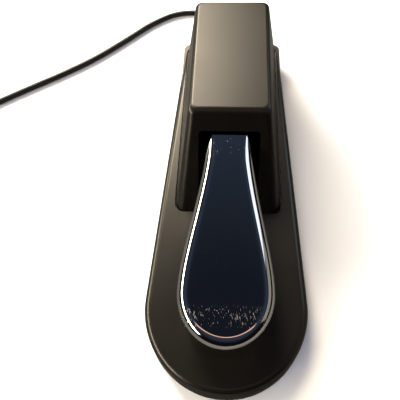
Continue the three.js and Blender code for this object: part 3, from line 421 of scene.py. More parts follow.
class Stock(Enum):
    """The finishes that the pedal is made of."""

    # Injection-moulded ABS with a fine spark-eroded grain: near black, with a broad soft highlight.
    CASE = TexturedPlastic("Moulded ABS, fine grain", "#090806", "#0e0c08", 0.31, grain_mm=0.55,
                           grain_depth_mm=0.012, patch_mm=34.0)
    # Chromium on die-cast zinc, buffed: a mirror, slightly smeared and scuffed by shoes.
    CHROME = ChromePlate("Chromed zinc, buffed", "#c6c9cf", "#b9bdc6", 0.05, metallic=1.0)
    # Styrene-butadiene rubber, moulded: dull and faintly uneven.
    RUBBER = Finish("Moulded rubber", "#131312", "#1c1b1a", 0.82, grain_mm=0.4, grain_depth_mm=0.03)
    # Flexible PVC, extruded: satin with a slight orange peel.
    CORD = Finish("Extruded PVC jacket", "#0d0d0e", "#151516", 0.34, grain_mm=1.4, grain_depth_mm=0.02,
                  patch_mm=12.0)
    # Rigid PVC over-moulding of the plug: smooth satin.
    PLUG = Finish("Over-moulded PVC", "#111112", "#18181a", 0.4, grain_mm=0.5, grain_depth_mm=0.01)
    # Bright nickel on turned brass: warm white metal with lathe lines across it.
    NICKEL = BrushedMetal("Nickelled brass, turned", "#d6d2c8", "#c4bfb4", 0.17, metallic=1.0, grain_mm=0.3,
                          grain_depth_mm=0.004, stretch=(1.0, 1.0, 1.0))
    # Zinc-plated mild steel sheet: grey and cloudy, with rolling lines.
    ZINC = BrushedMetal("Zinc-plated sheet steel", "#a7abad", "#8d9294", 0.38, metallic=1.0, grain_mm=0.5,
                        grain_depth_mm=0.008)
    # Zinc-plated screws, cold headed.
    SCREW = BrushedMetal("Zinc-plated screw steel", "#b4b6b4", "#94979a", 0.3, metallic=1.0, grain_mm=0.4,
                         grain_depth_mm=0.006, patch_mm=4.0, stretch=(1.0, 1.0, 1.0))
    # Hard-drawn spring wire and bright bar: darker, with draw lines.
    SPRING = BrushedMetal("Drawn spring steel", "#8b8d90", "#6c6e72", 0.28, metallic=1.0, grain_mm=0.4,
                          grain_depth_mm=0.006, stretch=(1.0, 1.0, 1.0))
    # Brass machine screws: warm yellow metal, a little tarnished.
    BRASS = BrushedMetal("Brass, turned", "#c3a25a", "#9b7d42", 0.32, metallic=1.0, grain_mm=0.4,
                         grain_depth_mm=0.006, patch_mm=3.0, stretch=(1.0, 1.0, 1.0))
    # Acetal: waxy off-white engineering plastic.
    ACETAL = Finish("Moulded acetal", "#e6e3da", "#d8d4c8", 0.42, grain_mm=0.8, grain_depth_mm=0.006,
                    patch_mm=9.0)
    # Wool felt, pressed and cut.
    FELT = WoolFelt("Pressed wool felt", "#35463d", "#1f2b25", 0.95)
    # Glass-epoxy laminate with solder mask.
    BOARD = CircuitLaminate("Glass-epoxy circuit board", "#1d5c39", "#1a5534", 0.4)
    # Glass-filled nylon of the switch bodies and the cable tie.
    NYLON = Finish("Glass-filled nylon", "#19191b", "#222225", 0.5, grain_mm=0.5, grain_depth_mm=0.02)
    # Red polycarbonate of the plunger and one wire's insulation.
    RED = Finish("Red moulded plastic", "#9c2a22", "#86231d", 0.36, grain_mm=0.5, grain_depth_mm=0.006)

    def material(self) -> Material:
        """The Blender material of this finish."""
        return self.value.material()


# ---------------------------------------------------------------- mesh helpers


def arc(centre: Pair, radii: Pair, angles: Pair, steps: int) -> list[Pair]:
    """Points of an elliptic arc.

    Args:
        centre: Its centre.
        radii: Its radii along X and Y.
        angles: First and last angle in degrees.
        steps: Number of chords.

    Returns:
        The points, both ends included.
    """
    first, last = (math.radians(a) for a in angles)
    turns = [first + (last - first) * k / steps for k in range(steps + 1)]
    return [(centre[0] + radii[0] * math.cos(t), centre[1] + radii[1] * math.sin(t)) for t in turns]


def smoothstep(low: float, high: float, value: float) -> float:
    """Zero below low, one above high, and smooth between them."""
    share = min(1.0, max(0.0, (value - low) / (high - low)))
    return share * share * (3 - 2 * share)


def mix(first: float, second: float, share: float) -> float:
    """The value that lies at a share of the way from first to second."""
    return first + (second - first) * share


def in_metres(place: Matrix) -> Matrix:
    """The same transform with its shift in metres instead of millimetres."""
    return Matrix.Translation(place.translation * MM) @ place.to_3x3().to_4x4()


def link_object(name: str, data: bpy.types.ID) -> Object:
    """Add an object with its data to the scene.

    Args:
        name: The object's name.
        data: Its mesh, curve, lamp or camera.

    Returns:
        The linked object.
    """
    made = bpy.data.objects.new(name, data)
    bpy.context.scene.collection.objects.link(made)
    return made


def discard(made: Object) -> None:
    """Remove an object that is used up, and its mesh."""
    mesh = made.data
    bpy.data.objects.remove(made)
    bpy.data.meshes.remove(mesh)


@contextmanager
def editing(made: Object) -> Iterator[bmesh.types.BMesh]:
    """Open an object's mesh for editing, and write it back at the end.

    Args:
        made: The piece.

    Yields:
        Its mesh, open.
    """
    shape = bmesh.new()
    shape.from_mesh(made.data)
    yield shape
    shape.to_mesh(made.data)
    shape.free()


def belt(rows: int, count: int, closed: bool = False) -> list[tuple[int, ...]]:
    """Quads between rings of equal counts.

    Args:
        rows: Number of rings.
        count: Points of each ring.
        closed: Whether the last ring joins the first.

    Returns:
        Faces as vertex numbers, anticlockwise from outside.
    """
    faces = []
    for row in range(rows if closed else rows - 1):
        low, high = row * count, (row + 1) % rows * count
        faces += [(low + k, low + (k + 1) % count, high + (k + 1) % count, high + k) for k in range(count)]
    return faces


def new_object(name: str, points: list[Point], faces: list[tuple[int, ...]],
               place: Matrix | None = None) -> Object:
    """Make a mesh object at the origin from points in millimetres.

    Args:
        name: The object's name.
        points: Vertices in millimetres.
        faces: Faces as vertex numbers, anticlockwise from outside.
        place: A transform in millimetres that goes into the mesh.

    Returns:
        The linked object.
    """
    mesh = bpy.data.meshes.new(name)
    placed = [place @ Vector(p) if place else p for p in points]
    mesh.from_pydata([tuple(MM * c for c in p) for p in placed], [], faces)
    mesh.validate()
    return link_object(name, mesh)


def loft(name: str, rings: list[Ring], place: Matrix | None = None) -> Object:
    """Skin a closed solid over rings.

    Args:
        name: The object's name.
        rings: Rings with equal counts, bottom first, each anticlockwise from above.
        place: A transform in millimetres.

    Returns:
        The solid's object.
    """
    count = len(rings[0])
    faces = belt(len(rings), count)
    top = (len(rings) - 1) * count
    faces += [tuple(range(count - 1, -1, -1)), tuple(range(top, top + count))]
    return new_object(name, [p for ring in rings for p in ring], faces, place)


def lathe(name: str, profile: list[Pair], place: Matrix, sides: int = 48,
          flutes: int = 0, flute_depth: float = 0.0, fluted: Pair = (0, 0)) -> Object:
    """Turn a closed solid of revolution about Z.

    Args:
        name: The object's name.
        profile: (radius, height) points; the outside goes up, and a profile off the axis closes on itself.
        place: A transform in millimetres.
        sides: Faces around.
        flutes: Number of lengthwise flutes.
        flute_depth: Their depth.
        fluted: The heights between which they run.

    Returns:
        The solid's object.
    """
    solid = profile[0][0] == 0
    body = profile[1:-1] if solid else profile
    points: list[Point] = []
    for radius, height in body:
        deep = 0.0
        if flutes:
            run_in, run_out = (smoothstep(end, end + 2, at) for end, at in ((fluted[0], height), (-fluted[1], -height)))
            deep = flute_depth * min(run_in, run_out)
        for k in range(sides):
            turn = 2 * math.pi * k / sides
            reach = radius - deep * (0.5 - 0.5 * math.cos(flutes * turn))
            points.append((reach * math.cos(turn), reach * math.sin(turn), height))
    rows = len(body)
    faces = belt(rows, sides, closed=not solid)
    if solid:
        low, high = len(points), len(points) + 1
        points += [(0, 0, profile[0][1]), (0, 0, profile[-1][1])]
        last = (rows - 1) * sides
        faces += [((k + 1) % sides, k, low) for k in range(sides)]
        faces += [(last + k, last + (k + 1) % sides, high) for k in range(sides)]
    return new_object(name, points, faces, place)


def box_solid(x: Pair, y: Pair, z: Pair) -> Object:
    """A plain block between two limits on each axis, used as a cutting tool."""
    corners = [(x[0], y[0]), (x[1], y[0]), (x[1], y[1]), (x[0], y[1])]
    return loft("tool", [[(*c, z[0]) for c in corners], [(*c, z[1]) for c in corners]])


def post_solid(radius: float, low: float, high: float, x: float, y: float, sides: int = 32) -> Object:
    """An upright cylinder, used as a tool or a boss."""
    outline = arc((x, y), (radius, radius), (0, 360), sides)[:-1]
    return loft("tool", [[(*p, low) for p in outline], [(*p, high) for p in outline]])


def rod_solid(radius: float, low: float, high: float, x: float, z: float) -> Object:
    """A cylinder along Y, used as a cutting tool.

    Args:
        radius: Its radius.
        low: Y of its near end.
        high: Y of its far end.
        x: Its axis's place across.
        z: Its axis's height.

    Returns:
        The tool.
    """
    outline = arc((0, 0), (radius, radius), (0, 360), 40)[:-1]
    turn = Matrix.Translation((x, 0, z)) @ Matrix.Rotation(math.radians(-90), 4, "X")
    return loft("tool", [[(*p, low) for p in outline], [(*p, high) for p in outline]], turn)


def settle(made: Object) -> Object:
    """Turn an object's modifiers into its plain mesh.

    Args:
        made: An object with modifiers, or a curve.

    Returns:
        The same object, with a plain mesh and no modifiers.
    """
    graph = bpy.context.evaluated_depsgraph_get()
    result = bpy.data.meshes.new_from_object(made.evaluated_get(graph), preserve_all_data_layers=True,
                                             depsgraph=graph)
    old = made.data
    made.modifiers.clear()
    made.data = result
    bpy.data.meshes.remove(old)
    return made


def carve(made: Object, tools: list[Object], operation: str = "DIFFERENCE") -> Object:
    """Cut tools out of a solid, or join them to it.

    Args:
        made: The solid.
        tools: Closed solids, which are used up.
        operation: DIFFERENCE or UNION.

    Returns:
        The same object.
    """
    for tool in tools:
        step = made.modifiers.new("step", "BOOLEAN")
        step.operation, step.solver, step.object = operation, "EXACT", tool
        settle(made)
        discard(tool)
    return made


def soften(made: Object, width_mm: float, chosen: Callable[[bmesh.types.BMEdge], bool],
           segments: int = 3) -> None:
    """Round the edges that a test picks.

    Args:
        made: The piece.
        width_mm: Width of the rounding.
        chosen: A test of a bmesh edge.
        segments: Faces across it.
    """
    with editing(made) as shape:
        bmesh.ops.remove_doubles(shape, verts=shape.verts, dist=SAME)
        bmesh.ops.dissolve_limit(shape, angle_limit=math.radians(FLAT_DEGREES), verts=shape.verts,
                                 edges=shape.edges)
        picked = [edge for edge in shape.edges if len(edge.link_faces) == 2 and chosen(edge)]
        bmesh.ops.bevel(shape, geom=picked, offset=width_mm * MM, segments=segments, profile=0.5,
                        affect="EDGES", clamp_overlap=True)


def smooth(made: Object, sharp_degrees: float = 35.0) -> None:
    """Shade smooth with crisp edges past an angle, and keep the flats flat.

    Args:
        made: The piece.
        sharp_degrees: The angle past which an edge stays crisp.
    """
    with editing(made) as shape:
        for face in shape.faces:
            face.smooth = True
        for edge in shape.edges:
            edge.smooth = len(edge.link_faces) == 2 and edge.calc_face_angle(0) < math.radians(sharp_degrees)
    even = made.modifiers.new("even", "WEIGHTED_NORMAL")
    even.keep_sharp, even.weight = True, 80


def fit_out(made: Object, name: str, stock: Stock, body: str, slot: str,
            replaces: tuple[str, ...]) -> Object:
    """Give a finished piece its name, material and body, and hide the CAD nodes that it stands for.

    Args:
        made: The piece.
        name: Its name.
        stock: Its finish.
        body: The CAD body that it rides on.
        slot: A material slot's name; not used.
        replaces: CAD nodes that it stands for.

    Returns:
        The same object.
    """
    made.name = made.data.name = name
    made.data.materials.clear()
    made.data.materials.append(stock.material())
    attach(made, body)
    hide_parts(*replaces)
    LOG.info("%s: %d vertices on %s", name, len(getattr(made.data, "vertices", [])), body)
    return made


# ---------------------------------------------------------------- case


@dataclass
class BaseCase:
    """The long flat base: a round-ended shell with a shallow recess for the housing."""

    length: float = 246.4
    width: float = 86.5
    height: float = 15.0
    wall: float = 2.5
    edge: float = 3.8
    rear_corner: float = 19.5
    rear_half_width: float = 32.45
    stretch: float = 1.06
    edge_steps: int = 12
    skirt_lift: float = 1.2
    skirt_chamfer: float = 0.35
    recess_depth: float = 2.0
    recess_clearance: float = 0.7
    recess_rounding: float = 0.45
    plate_top: float = 3.8
    mat_thickness: float = 2.0
    mat_chamfer: float = 0.2
    mat_hole: float = 4.1  # radius of the holes under the screws
    mat_window: Pair = (3.6, 2.1)  # half the opening under the slide switch
    pip_height: float = 0.6
    pip_radius: float = 1.25
    pip_pitch: float = 5.0
    pip_row_share: float = 0.866  # distance of two rows, as a share of the pitch
    pip_rows: int = 27  # on each side of the middle
    pip_columns: int = 9
    pip_border: float = 6.0  # kept free along the mat's edge
    pip_clearance: float = 2.4  # kept free round the window
    boss_radius: float = 3.6
    screw_radius: float = 1.7
    outer_screws: list[Pair] = field(default_factory=list)
    cover_screws: list[Pair] = field(default_factory=list)

    @property
    def front_centre(self) -> float:
        """Y of the round end's centre."""
        return -self.length / 2 + self.stretch * self.width / 2

    def ring(self, inset: float, z: float) -> Ring:
        """The outline drawn in by an inset.

        Args:
            inset: How far it is drawn in.
            z: Its height.

        Returns:
            Points anticlockwise from above.
        """
        half, rear = self.width / 2, self.length / 2
        taper = math.atan((half - self.rear_half_width) / (rear - self.front_centre))
        degrees, corner = math.degrees(taper), self.rear_corner
        x = self.rear_half_width - corner / math.cos(taper) + corner * math.tan(taper)
        rounding = corner - inset
        outline = [
            *arc((0, self.front_centre), (half - inset, self.stretch * half - inset),
                 (180 - degrees, 360 + degrees), 90),
            *arc((x, rear - corner), (rounding, rounding), (degrees, 90), 16),
            *arc((-x, rear - corner), (rounding, rounding), (90, 180 - degrees), 16),
        ]
        return [(px, py, z) for px, py in outline]

    def shell(self, housing: "Housing") -> Object:
        """Make the base's shell.

        Args:
            housing: The housing, whose foot stands in the recess.

        Returns:
            The finished piece.
        """
        lift, start = self.skirt_lift, self.height - self.edge
        rings = [self.ring(self.skirt_chamfer, lift), self.ring(0, lift + self.skirt_chamfer)]
        for k in range(self.edge_steps + 1):
            turn = math.radians(90 * k / self.edge_steps)
            rings.append(self.ring(self.edge * (1 - math.cos(turn)), start + self.edge * math.sin(turn)))
        inner = self.edge - self.wall
        seat = self.height - self.recess_depth
        under = seat - self.wall
        roof = self.height - self.wall
        hollow = [self.ring(self.wall, lift - 1), self.ring(self.wall, roof - inner),
                  self.ring(self.wall + inner, roof)]
        made = carve(loft("base", rings), [loft("tool", hollow)])
        boss_foot, beyond = self.plate_top + GAP, self.height + 1
        bosses = [post_solid(self.boss_radius, boss_foot, self.height - 1, x, y)
                  for x, y in self.outer_screws]
        sleeves = [post_solid(self.boss_radius, boss_foot, under + 1, x, y) for x, y in self.cover_screws]
        floor = housing.foot_prism(self.recess_clearance + self.wall, under, seat + 1)
        carve(made, [floor, *bosses, *sleeves], "UNION")
        threads = [post_solid(self.screw_radius, 0, under, x, y, 16) for x, y in self.outer_screws]
        passages = [post_solid(self.screw_radius, 0, beyond, x, y, 16) for x, y in self.cover_screws]
        low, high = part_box("pivot_bracket")
        well = box_solid((low.x / MM - 1, high.x / MM + 1), (low.y / MM - 2, high.y / MM + 0.5), (0, beyond))
        carve(made, [housing.foot_prism(self.recess_clearance, seat, beyond), *threads, *passages, well])
        top, ends = self.height * MM, (self.length / 2 - 0.2) * MM

        def recess_rim(edge: bmesh.types.BMEdge) -> bool:
            """True on the recess's upper rim."""
            level = all(abs(v.co.z - top) < SAME for v in edge.verts)
            return level and edge.calc_face_angle(0) > 1.2 and abs(edge.verts[0].co.y) < ends

        soften(made, self.recess_rounding, recess_rim)
        smooth(made)
        return fit_out(made, "base_case", Stock.CASE, "case", "case_plastic", ("base_shell",))

    def holds_pip(self, x: float, y: float) -> bool:
        """Whether a place lies far enough inside the mat's edge for a pip.

        Args:
            x: Across.
            y: Along.

        Returns:
            True if a pip may stand there.
        """
        half, rear, past = self.width / 2, self.length / 2, y - self.front_centre
        if past <= 0:
            long_half = self.stretch * half - self.pip_border
            return math.hypot(x / (half - self.pip_border), past / long_half) < 1
        reach = mix(half, self.rear_half_width, past / (rear - self.front_centre))
        corner = y < rear - 8 and (abs(x) < reach - 15 or y < rear - 16)
        return corner and abs(x) < reach - self.pip_border

    def mat(self) -> Object:
        """Make the rubber mat, with rows of small round pips underneath for grip.

        Returns:
            The finished piece.
        """
        inset, thickness, lip = self.wall + GAP, self.mat_thickness, self.mat_chamfer
        levels = ((inset + lip, self.pip_height), (inset, self.pip_height + lip), (inset, thickness))
        sheet = loft("mat", [self.ring(drawn_in, z) for drawn_in, z in levels])
        holes = [*self.outer_screws, *self.cover_screws]
        low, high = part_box("polarity_slider")
        middle = ((low + high) / 2 / MM).y
        wide, deep = self.mat_window
        carve(sheet, [post_solid(self.mat_hole, -1, thickness + 1, x, y) for x, y in holes]
              + [box_solid((-wide, wide), (middle - deep, middle + deep), (-1, thickness + 1))])
        smooth(sheet)
        settle(sheet)
        around = self.pip_clearance
        spots = []
        for row in range(-self.pip_rows, self.pip_rows + 1):
            y = row * self.pip_pitch * self.pip_row_share
            for column in range(-self.pip_columns, self.pip_columns + 1):
                x = (column + 0.5 * (row % 2)) * self.pip_pitch
                clear = all(math.hypot(x - hx, y - hy) > self.mat_hole + 2.2 for hx, hy in holes)
                clear = clear and not (abs(x) < wide + around and abs(y - middle) < deep + around)
                if clear and self.holds_pip(x, y):
                    spots.append((x, y, self.pip_height + 0.05))
        pips = new_object("pips", spots, [])
        grow_pips(pips, self.pip_radius, self.pip_height)
        return fit_out(merge(sheet, [pips]), "grip_mat", Stock.RUBBER, "case", "mat_rubber", ("rubber_mat",))


def merge(first: Object, others: list[Object]) -> Object:
    """Put other meshes into the first one's mesh.

    Args:
        first: The piece that stays.
        others: Pieces that are used up.

    Returns:
        The first piece.
    """
    with editing(first) as shape:
        for other in others:
            shape.from_mesh(other.data)
            discard(other)
    return first


@dataclass
class Housing:
    """The tall box over the mechanism: leaning faces, a rounded top edge, and a slot for the lever."""

    height: float = 62.2
    foot_width: float = 61.4
    top_width: float = 45.2
    front_foot: float = -22.0
    rear_foot: float = 112.8
    front_lean: float = 36.4
    rear_lean: float = 11.2
    foot: float = 13.3
    wall: float = 2.2
    front_edge: float = 5.0
    side_edge: float = 2.8
    rear_edge: float = 2.0
    inner_edge: float = 0.5
    edge_steps: int = 20
    foot_corner: float = 5.5
    top_corner: float = 3.6
    least_corner: float = 0.8
    slot_width: float = 34.4
    slot_top: float = 52.63
    slot_corner: float = 2.5
    boss_radius: float = 3.6
    boss_share: float = 0.55  # of the height that the bosses reach
    screw_radius: float = 1.7
    screw_depth: float = 14.0
    cord_hole: float = 3.6
    slot_rounding: float = 0.7
    screws: list[Pair] = field(default_factory=list)

    def ring(self, half_width: float, front: float, rear: float, corner: float, z: float,
             steps: int = 10) -> Ring:
        """A rectangle with round corners, anticlockwise.

        Args:
            half_width: Half its width.
            front: Its lowest Y.
            rear: Its highest Y.
            corner: The corners' radius.
            z: Its height.
            steps: Chords of each corner.

        Returns:
            The ring's points.
        """
        x, r = half_width - corner, (corner, corner)
        centres = ((x, rear - corner), (-x, rear - corner), (-x, front + corner), (x, front + corner))
        outline = [point for k, centre in enumerate(centres)
                   for point in arc(centre, r, (90 * k, 90 * k + 90), steps)]
        return [(px, py, z) for px, py in outline]

    def foot_prism(self, spread: float, low: float, high: float) -> Object:
        """An upright prism of the foot's outline, as a tool.

        Args:
            spread: How far it stands outside the foot.
            low: Height of its lower end.
            high: Height of its upper end.

        Returns:
            The tool.
        """
        half = self.foot_width / 2 + spread
        front, rear, corner = self.front_foot - spread, self.rear_foot + spread, self.foot_corner
        return loft("tool", [self.ring(half, front, rear, corner, z) for z in (low, high)])

    def inset(self, z: float, lean: float, top: float, radius: float) -> float:
        """How far a leaning wall has come in at a height.

        Args:
            z: The height.
            lean: How far the wall comes in from foot to top.
            top: The top's height.
            radius: The top edge's rounding.

        Returns:
            The distance from the foot's line.
        """
        slope = lean / (self.height - self.foot)
        tilt, centre_z = math.atan(slope), top - radius
        if z <= centre_z + radius * math.sin(tilt):
            return slope * (z - self.foot)
        centre = slope * (centre_z - self.foot) + radius / math.cos(tilt)
        return centre - math.sqrt(max(0.0, radius**2 - (z - centre_z) ** 2))

    def solid(self, wall: float, foot: float) -> Object:
        """The housing's solid, drawn in by a wall.

        Args:
            wall: Zero for the outside, the wall's thickness for the hollow.
            foot: Height of its lower end.

        Returns:
            The solid.
        """
        top, side = self.height - wall, (self.foot_width - self.top_width) / 2
        edges = (self.front_edge, self.side_edge, self.rear_edge)
        front_edge, side_edge, rear_edge = (max(edge - wall, self.inner_edge) for edge in edges)
        turns = [math.radians(90 * k / self.edge_steps) for k in range(self.edge_steps + 1)]
        heights = [foot] + [top - front_edge + front_edge * math.sin(turn) for turn in turns]
        rise = self.height - self.foot

        def run(lean: float) -> float:
            """The wall's thickness, measured level through a leaning face."""
            return wall / math.cos(math.atan(lean / rise))

        rings = []
        for z in heights:
            share = min(1.0, max(0.0, (z - self.foot) / rise))
            corner = max(mix(self.foot_corner, self.top_corner, share) - wall, self.least_corner)
            half = self.foot_width / 2 - run(side) - self.inset(z, side, top, side_edge)
            front = self.front_foot + run(self.front_lean) + self.inset(z, self.front_lean, top, front_edge)
            rear = self.rear_foot - run(self.rear_lean) - self.inset(z, self.rear_lean, top, rear_edge)
            rings.append(self.ring(half, front, rear, corner, z))
        return loft("housing", rings)

    def slot(self) -> Object:
        """The lever's slot as a tool: a prism along Y with two round upper corners."""
        half, corner = self.slot_width / 2, self.slot_corner
        upper = [*arc((half - corner, self.slot_top - corner), (corner, corner), (0, 90), 8),
                 *arc((corner - half, self.slot_top - corner), (corner, corner), (90, 180), 8)]
        outline = [(-half, 0.0), (half, 0.0), *upper]
        front, rear = self.front_foot - 10, self.front_foot + self.front_lean + 8
        return loft("tool", [[(x, y, z) for x, z in outline] for y in (rear, front)])

    def cover(self) -> Object:
        """Make the housing.

        Returns:
            The finished piece.
        """
        made = carve(self.solid(0, self.foot), [self.solid(self.wall, self.foot - 1)])
        boss_top = self.foot + self.boss_share * (self.height - self.foot)
        bosses = [post_solid(self.boss_radius, self.foot, boss_top, x, y) for x, y in self.screws]
        carve(made, bosses, "UNION")
        threads = [post_solid(self.screw_radius, 0, self.foot + self.screw_depth, x, y, 16)
                   for x, y in self.screws]
        low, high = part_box("strain_relief")
        centre, rear = (low + high) / 2 / MM, self.rear_foot
        cord_hole = rod_solid(self.cord_hole, rear - self.rear_lean, rear + 20, centre.x, centre.z)
        carve(made, [*threads, self.slot(), cord_hole])

        def slot_rim(edge: bmesh.types.BMEdge) -> bool:
            """Whether the slot meets the front face at an edge.

            Args:
                edge: An edge with two faces.

            Returns:
                True on the slot's rim.
            """
            normals = [face.normal for face in edge.link_faces]
            outward = [n for n in normals if n.y < -0.5 and n.z > 0.3]
            slot_side = [n for n in normals if abs(n.y) < 1e-3]
            return len(outward) == 1 and len(slot_side) == 1

        soften(made, self.slot_rounding, slot_rim, 4)
        smooth(made)
        return fit_out(made, "housing", Stock.CASE, "case", "case_plastic", ("housing_cover",))


# ---------------------------------------------------------------- lever


@dataclass
class Lever:
    """The pressed and chromed lever, in lever coordinates: the pivot at the origin, +Y back and +Z up."""

    pivot_y: float = 72.0
    pivot_z: float = 27.0
    pitch: float = LEVER_PITCH
    top: float = 30.2104
    neck_end: float = -27.0
    neck_start: float = -48.6
    tip: float = -176.535
    tip_stretch: float = 1.12
    flare_shares: Pair = (0.444, 0.771)  # where the neck starts to widen and the spoon stops, as shares
    neck_half: float = 11.8
    spoon_half: float = 24.1
    depth: float = 10.0
    wall: float = 1.8
    crown: float = 0.35
    flare_length: float = 30.0  # over which the shoulder grows
    shoulders: Pair = (2.1, 6.3)  # width of the rolled shoulder at the neck and at the spoon
    falls: Pair = (3.0, 5.5)  # its height
    screws: Pair = (-82.6, -64.6)
    boss_bottom: float = 24.41
    boss_radius: float = 4.2
    screw_radius: float = 1.7
    screw_root: float = 17.41  # underside of the screws' heads
    stations: int = 60
    tip_stations: int = 44
    columns: int = 20
    shoulder_steps: int = 14

    @property
    def place(self) -> Matrix:
        """Lever coordinates to the row frame, in millimetres."""
        return Matrix.Translation((0, self.pivot_y, self.pivot_z)) @ Matrix.Rotation(self.pitch, 4, "X")

    def half_outline(self) -> list[Pair]:
        """The left half's outline, from the neck's inner end to the tip.

        Returns:
            Points with X below zero, the last one on the centre line.
        """
        centre = self.tip + self.tip_stretch * self.spoon_half
        leave, arrive = (mix(self.neck_start, centre, share) for share in self.flare_shares)
        handles = [(self.neck_half, self.neck_start), (self.neck_half, leave),
                   (self.spoon_half, arrive), (self.spoon_half, centre)]
        points = [(-self.neck_half, mix(self.neck_end, self.neck_start, k / 6)) for k in range(6)]
        for k in range(self.stations + 1):
            t = k / self.stations
            weights = ((1 - t) ** 3, 3 * t * (1 - t) ** 2, 3 * t * t * (1 - t), t**3)
            x, y = (sum(w * h[axis] for w, h in zip(weights, handles)) for axis in (0, 1))
            points.append((-x, y))
        radii = (self.spoon_half, centre - self.tip)
        return points + arc((0, centre), radii, (180, 270), self.tip_stations)[1:]

    def section(self, y: float, wall: float) -> list[Pair]:
        """The skin from its rim to the flat top, as (inset, drop below the top) pairs.

        Args:
            y: Where along the lever.
            wall: Zero for the outside skin, the wall's thickness for the inside.

        Returns:
            The pairs, rim first.
        """
        flare = smoothstep(-self.neck_start, self.flare_length - self.neck_start, -y)
        shoulder, fall = mix(*self.shoulders, flare), mix(*self.falls, flare)
        pairs = []
        if wall == 0:
            lip = self.wall / 2
            pairs = [(lip * (1 - math.cos(t)), self.depth - lip + lip * math.sin(t))
                     for t in (math.radians(90 - 18 * k) for k in range(5))]
        pairs.append((wall, self.depth - self.wall / 2))
        for k in range(self.shoulder_steps + 1):
            turn = math.radians(90 * k / self.shoulder_steps)
            pairs.append((wall + shoulder * (1 - math.cos(turn)), wall + fall * (1 - math.sin(turn))))
        return pairs

    def shell(self) -> Object:
        """The lever's shell: a crowned flat, rolled shoulders, a rounded rim, and a hollow underside.

        Returns:
            The closed solid.
        """
        left = self.half_outline()
        tip = len(left) - 1
        outline = left + [(-x, y) for x, y in reversed(left[:-1])]
        count = len(outline)
        points: list[Point] = []
        faces: list[tuple[int, ...]] = []

        def normal(k: int) -> Pair:
            """The outline's outward direction at a point.

            Args:
                k: The point's number.

            Returns:
                The direction, of length one.
            """
            if k < 2 or k > count - 3:
                return (-1.0 if k < 2 else 1.0, 0.0)
            (ax, ay), (bx, by) = outline[k - 1], outline[k + 1]
            length = math.hypot(bx - ax, by - ay)
            return ((by - ay) / length, -(bx - ax) / length)

        def skin(wall: float) -> list[list[int]]:
            """Add the points of the outside or the inside skin.

            Args:
                wall: Zero for the outside skin, the wall's thickness for the inside.

            Returns:
                Vertex numbers of each ring, rim first.
            """
            sections = [self.section(y, wall) for _, y in outline]
            rings = []
            for level in range(len(sections[0])):
                rings.append(list(range(len(points), len(points) + count)))
                for k, (x, y) in enumerate(outline):
                    (inset, drop), (nx, ny) = sections[k][level], normal(k)
                    points.append((x - nx * inset, y - ny * inset, self.top - drop))
            return rings

        def flat(ring: list[int], crown: float) -> list[list[int]]:
            """Add the points between the skin's two upper edges.

            Args:
                ring: Vertex numbers of the skin's uppermost ring.
                crown: How far the middle stands up at the widest place.

            Returns:
                Rows of vertex numbers, from the left edge to the right edge.
            """
            rows = []
            for k in range(tip):
                first, last = ring[k], ring[count - 1 - k]
                (x0, y0, z0), x1 = points[first], points[last][0]
                row = [first]
                for m in range(1, self.columns):
                    share = m / self.columns
                    lift = crown * (1 - (2 * share - 1) ** 2) * (abs(x0) / self.spoon_half) ** 2
                    row.append(len(points))
                    points.append((mix(x0, x1, share), y0, z0 + lift))
                rows.append(row + [last])
            return rows

        outer, inner = skin(0), skin(self.wall)
        for low, high in zip(outer, outer[1:]):
            faces += [(low[k], low[k + 1], high[k + 1], high[k]) for k in range(count - 1)]
        for low, high in zip(inner, inner[1:]):
            faces += [(high[k], high[k + 1], low[k + 1], low[k]) for k in range(count - 1)]
        faces += [(inner[0][k], inner[0][k + 1], outer[0][k + 1], outer[0][k]) for k in range(count - 1)]
        outer_rows, inner_rows = flat(outer[-1], self.crown), flat(inner[-1], 0.0)
        for rows, ring, flip in ((outer_rows, outer[-1], False), (inner_rows, inner[-1], True)):
            pairs = [(a, b) for a, b in zip(rows, rows[1:])]
            patch = [(a[m], b[m], b[m + 1], a[m + 1]) for a, b in pairs for m in range(self.columns)]
            patch += [(rows[-1][m], ring[tip], rows[-1][m + 1]) for m in range(self.columns)]
            faces += [tuple(reversed(face)) for face in patch] if flip else patch
        end = [ring[0] for ring in outer] + outer_rows[0][1:-1] + [ring[-1] for ring in reversed(outer)]
        end += [ring[-1] for ring in inner] + inner_rows[0][-2:0:-1] + [ring[0] for ring in reversed(inner)]
        faces.append(tuple(end))
        return new_object("lever", points, faces)

    def cap(self) -> Object:
        """Make the chromed lever with its two screw bosses.

        Returns:
            The finished piece.
        """
        made = self.shell()
        roof = self.top - self.wall
        low = self.boss_bottom
        carve(made, [post_solid(self.boss_radius, low, roof + 0.5, 0, y) for y in self.screws], "UNION")
        carve(made, [post_solid(self.screw_radius, low - 1, roof - GAP, 0, y, 16) for y in self.screws])
        made.data.transform(in_metres(self.place))
        smooth(made, 50)
        return fit_out(made, "chrome_lever", Stock.CHROME, "lever", "lever_chrome", ("lever_cap",))


# ---------------------------------------------------------------- repeated pieces by Geometry Nodes


def node_group(name: str, sizes: tuple[str, ...]) -> tuple[Tree, Node, Node]:
    """Start a Geometry Nodes tree.

    Args:
        name: The tree's name.
        sizes: Names of its number inputs; a geometry and a material called Finish come with them.

    Returns:
        The tree, its input node and its output node.
    """
    tree = bpy.data.node_groups.new(name, "GeometryNodeTree")
    tree.is_modifier = True
    tree.interface.new_socket("Geometry", in_out="INPUT", socket_type="NodeSocketGeometry")
    for label in sizes:
        tree.interface.new_socket(label, in_out="INPUT", socket_type="NodeSocketFloat")
    tree.interface.new_socket("Finish", in_out="INPUT", socket_type="NodeSocketMaterial")
    tree.interface.new_socket("Geometry", in_out="OUTPUT", socket_type="NodeSocketGeometry")
    return tree, add_node(tree, "NodeGroupInput"), add_node(tree, "NodeGroupOutput")


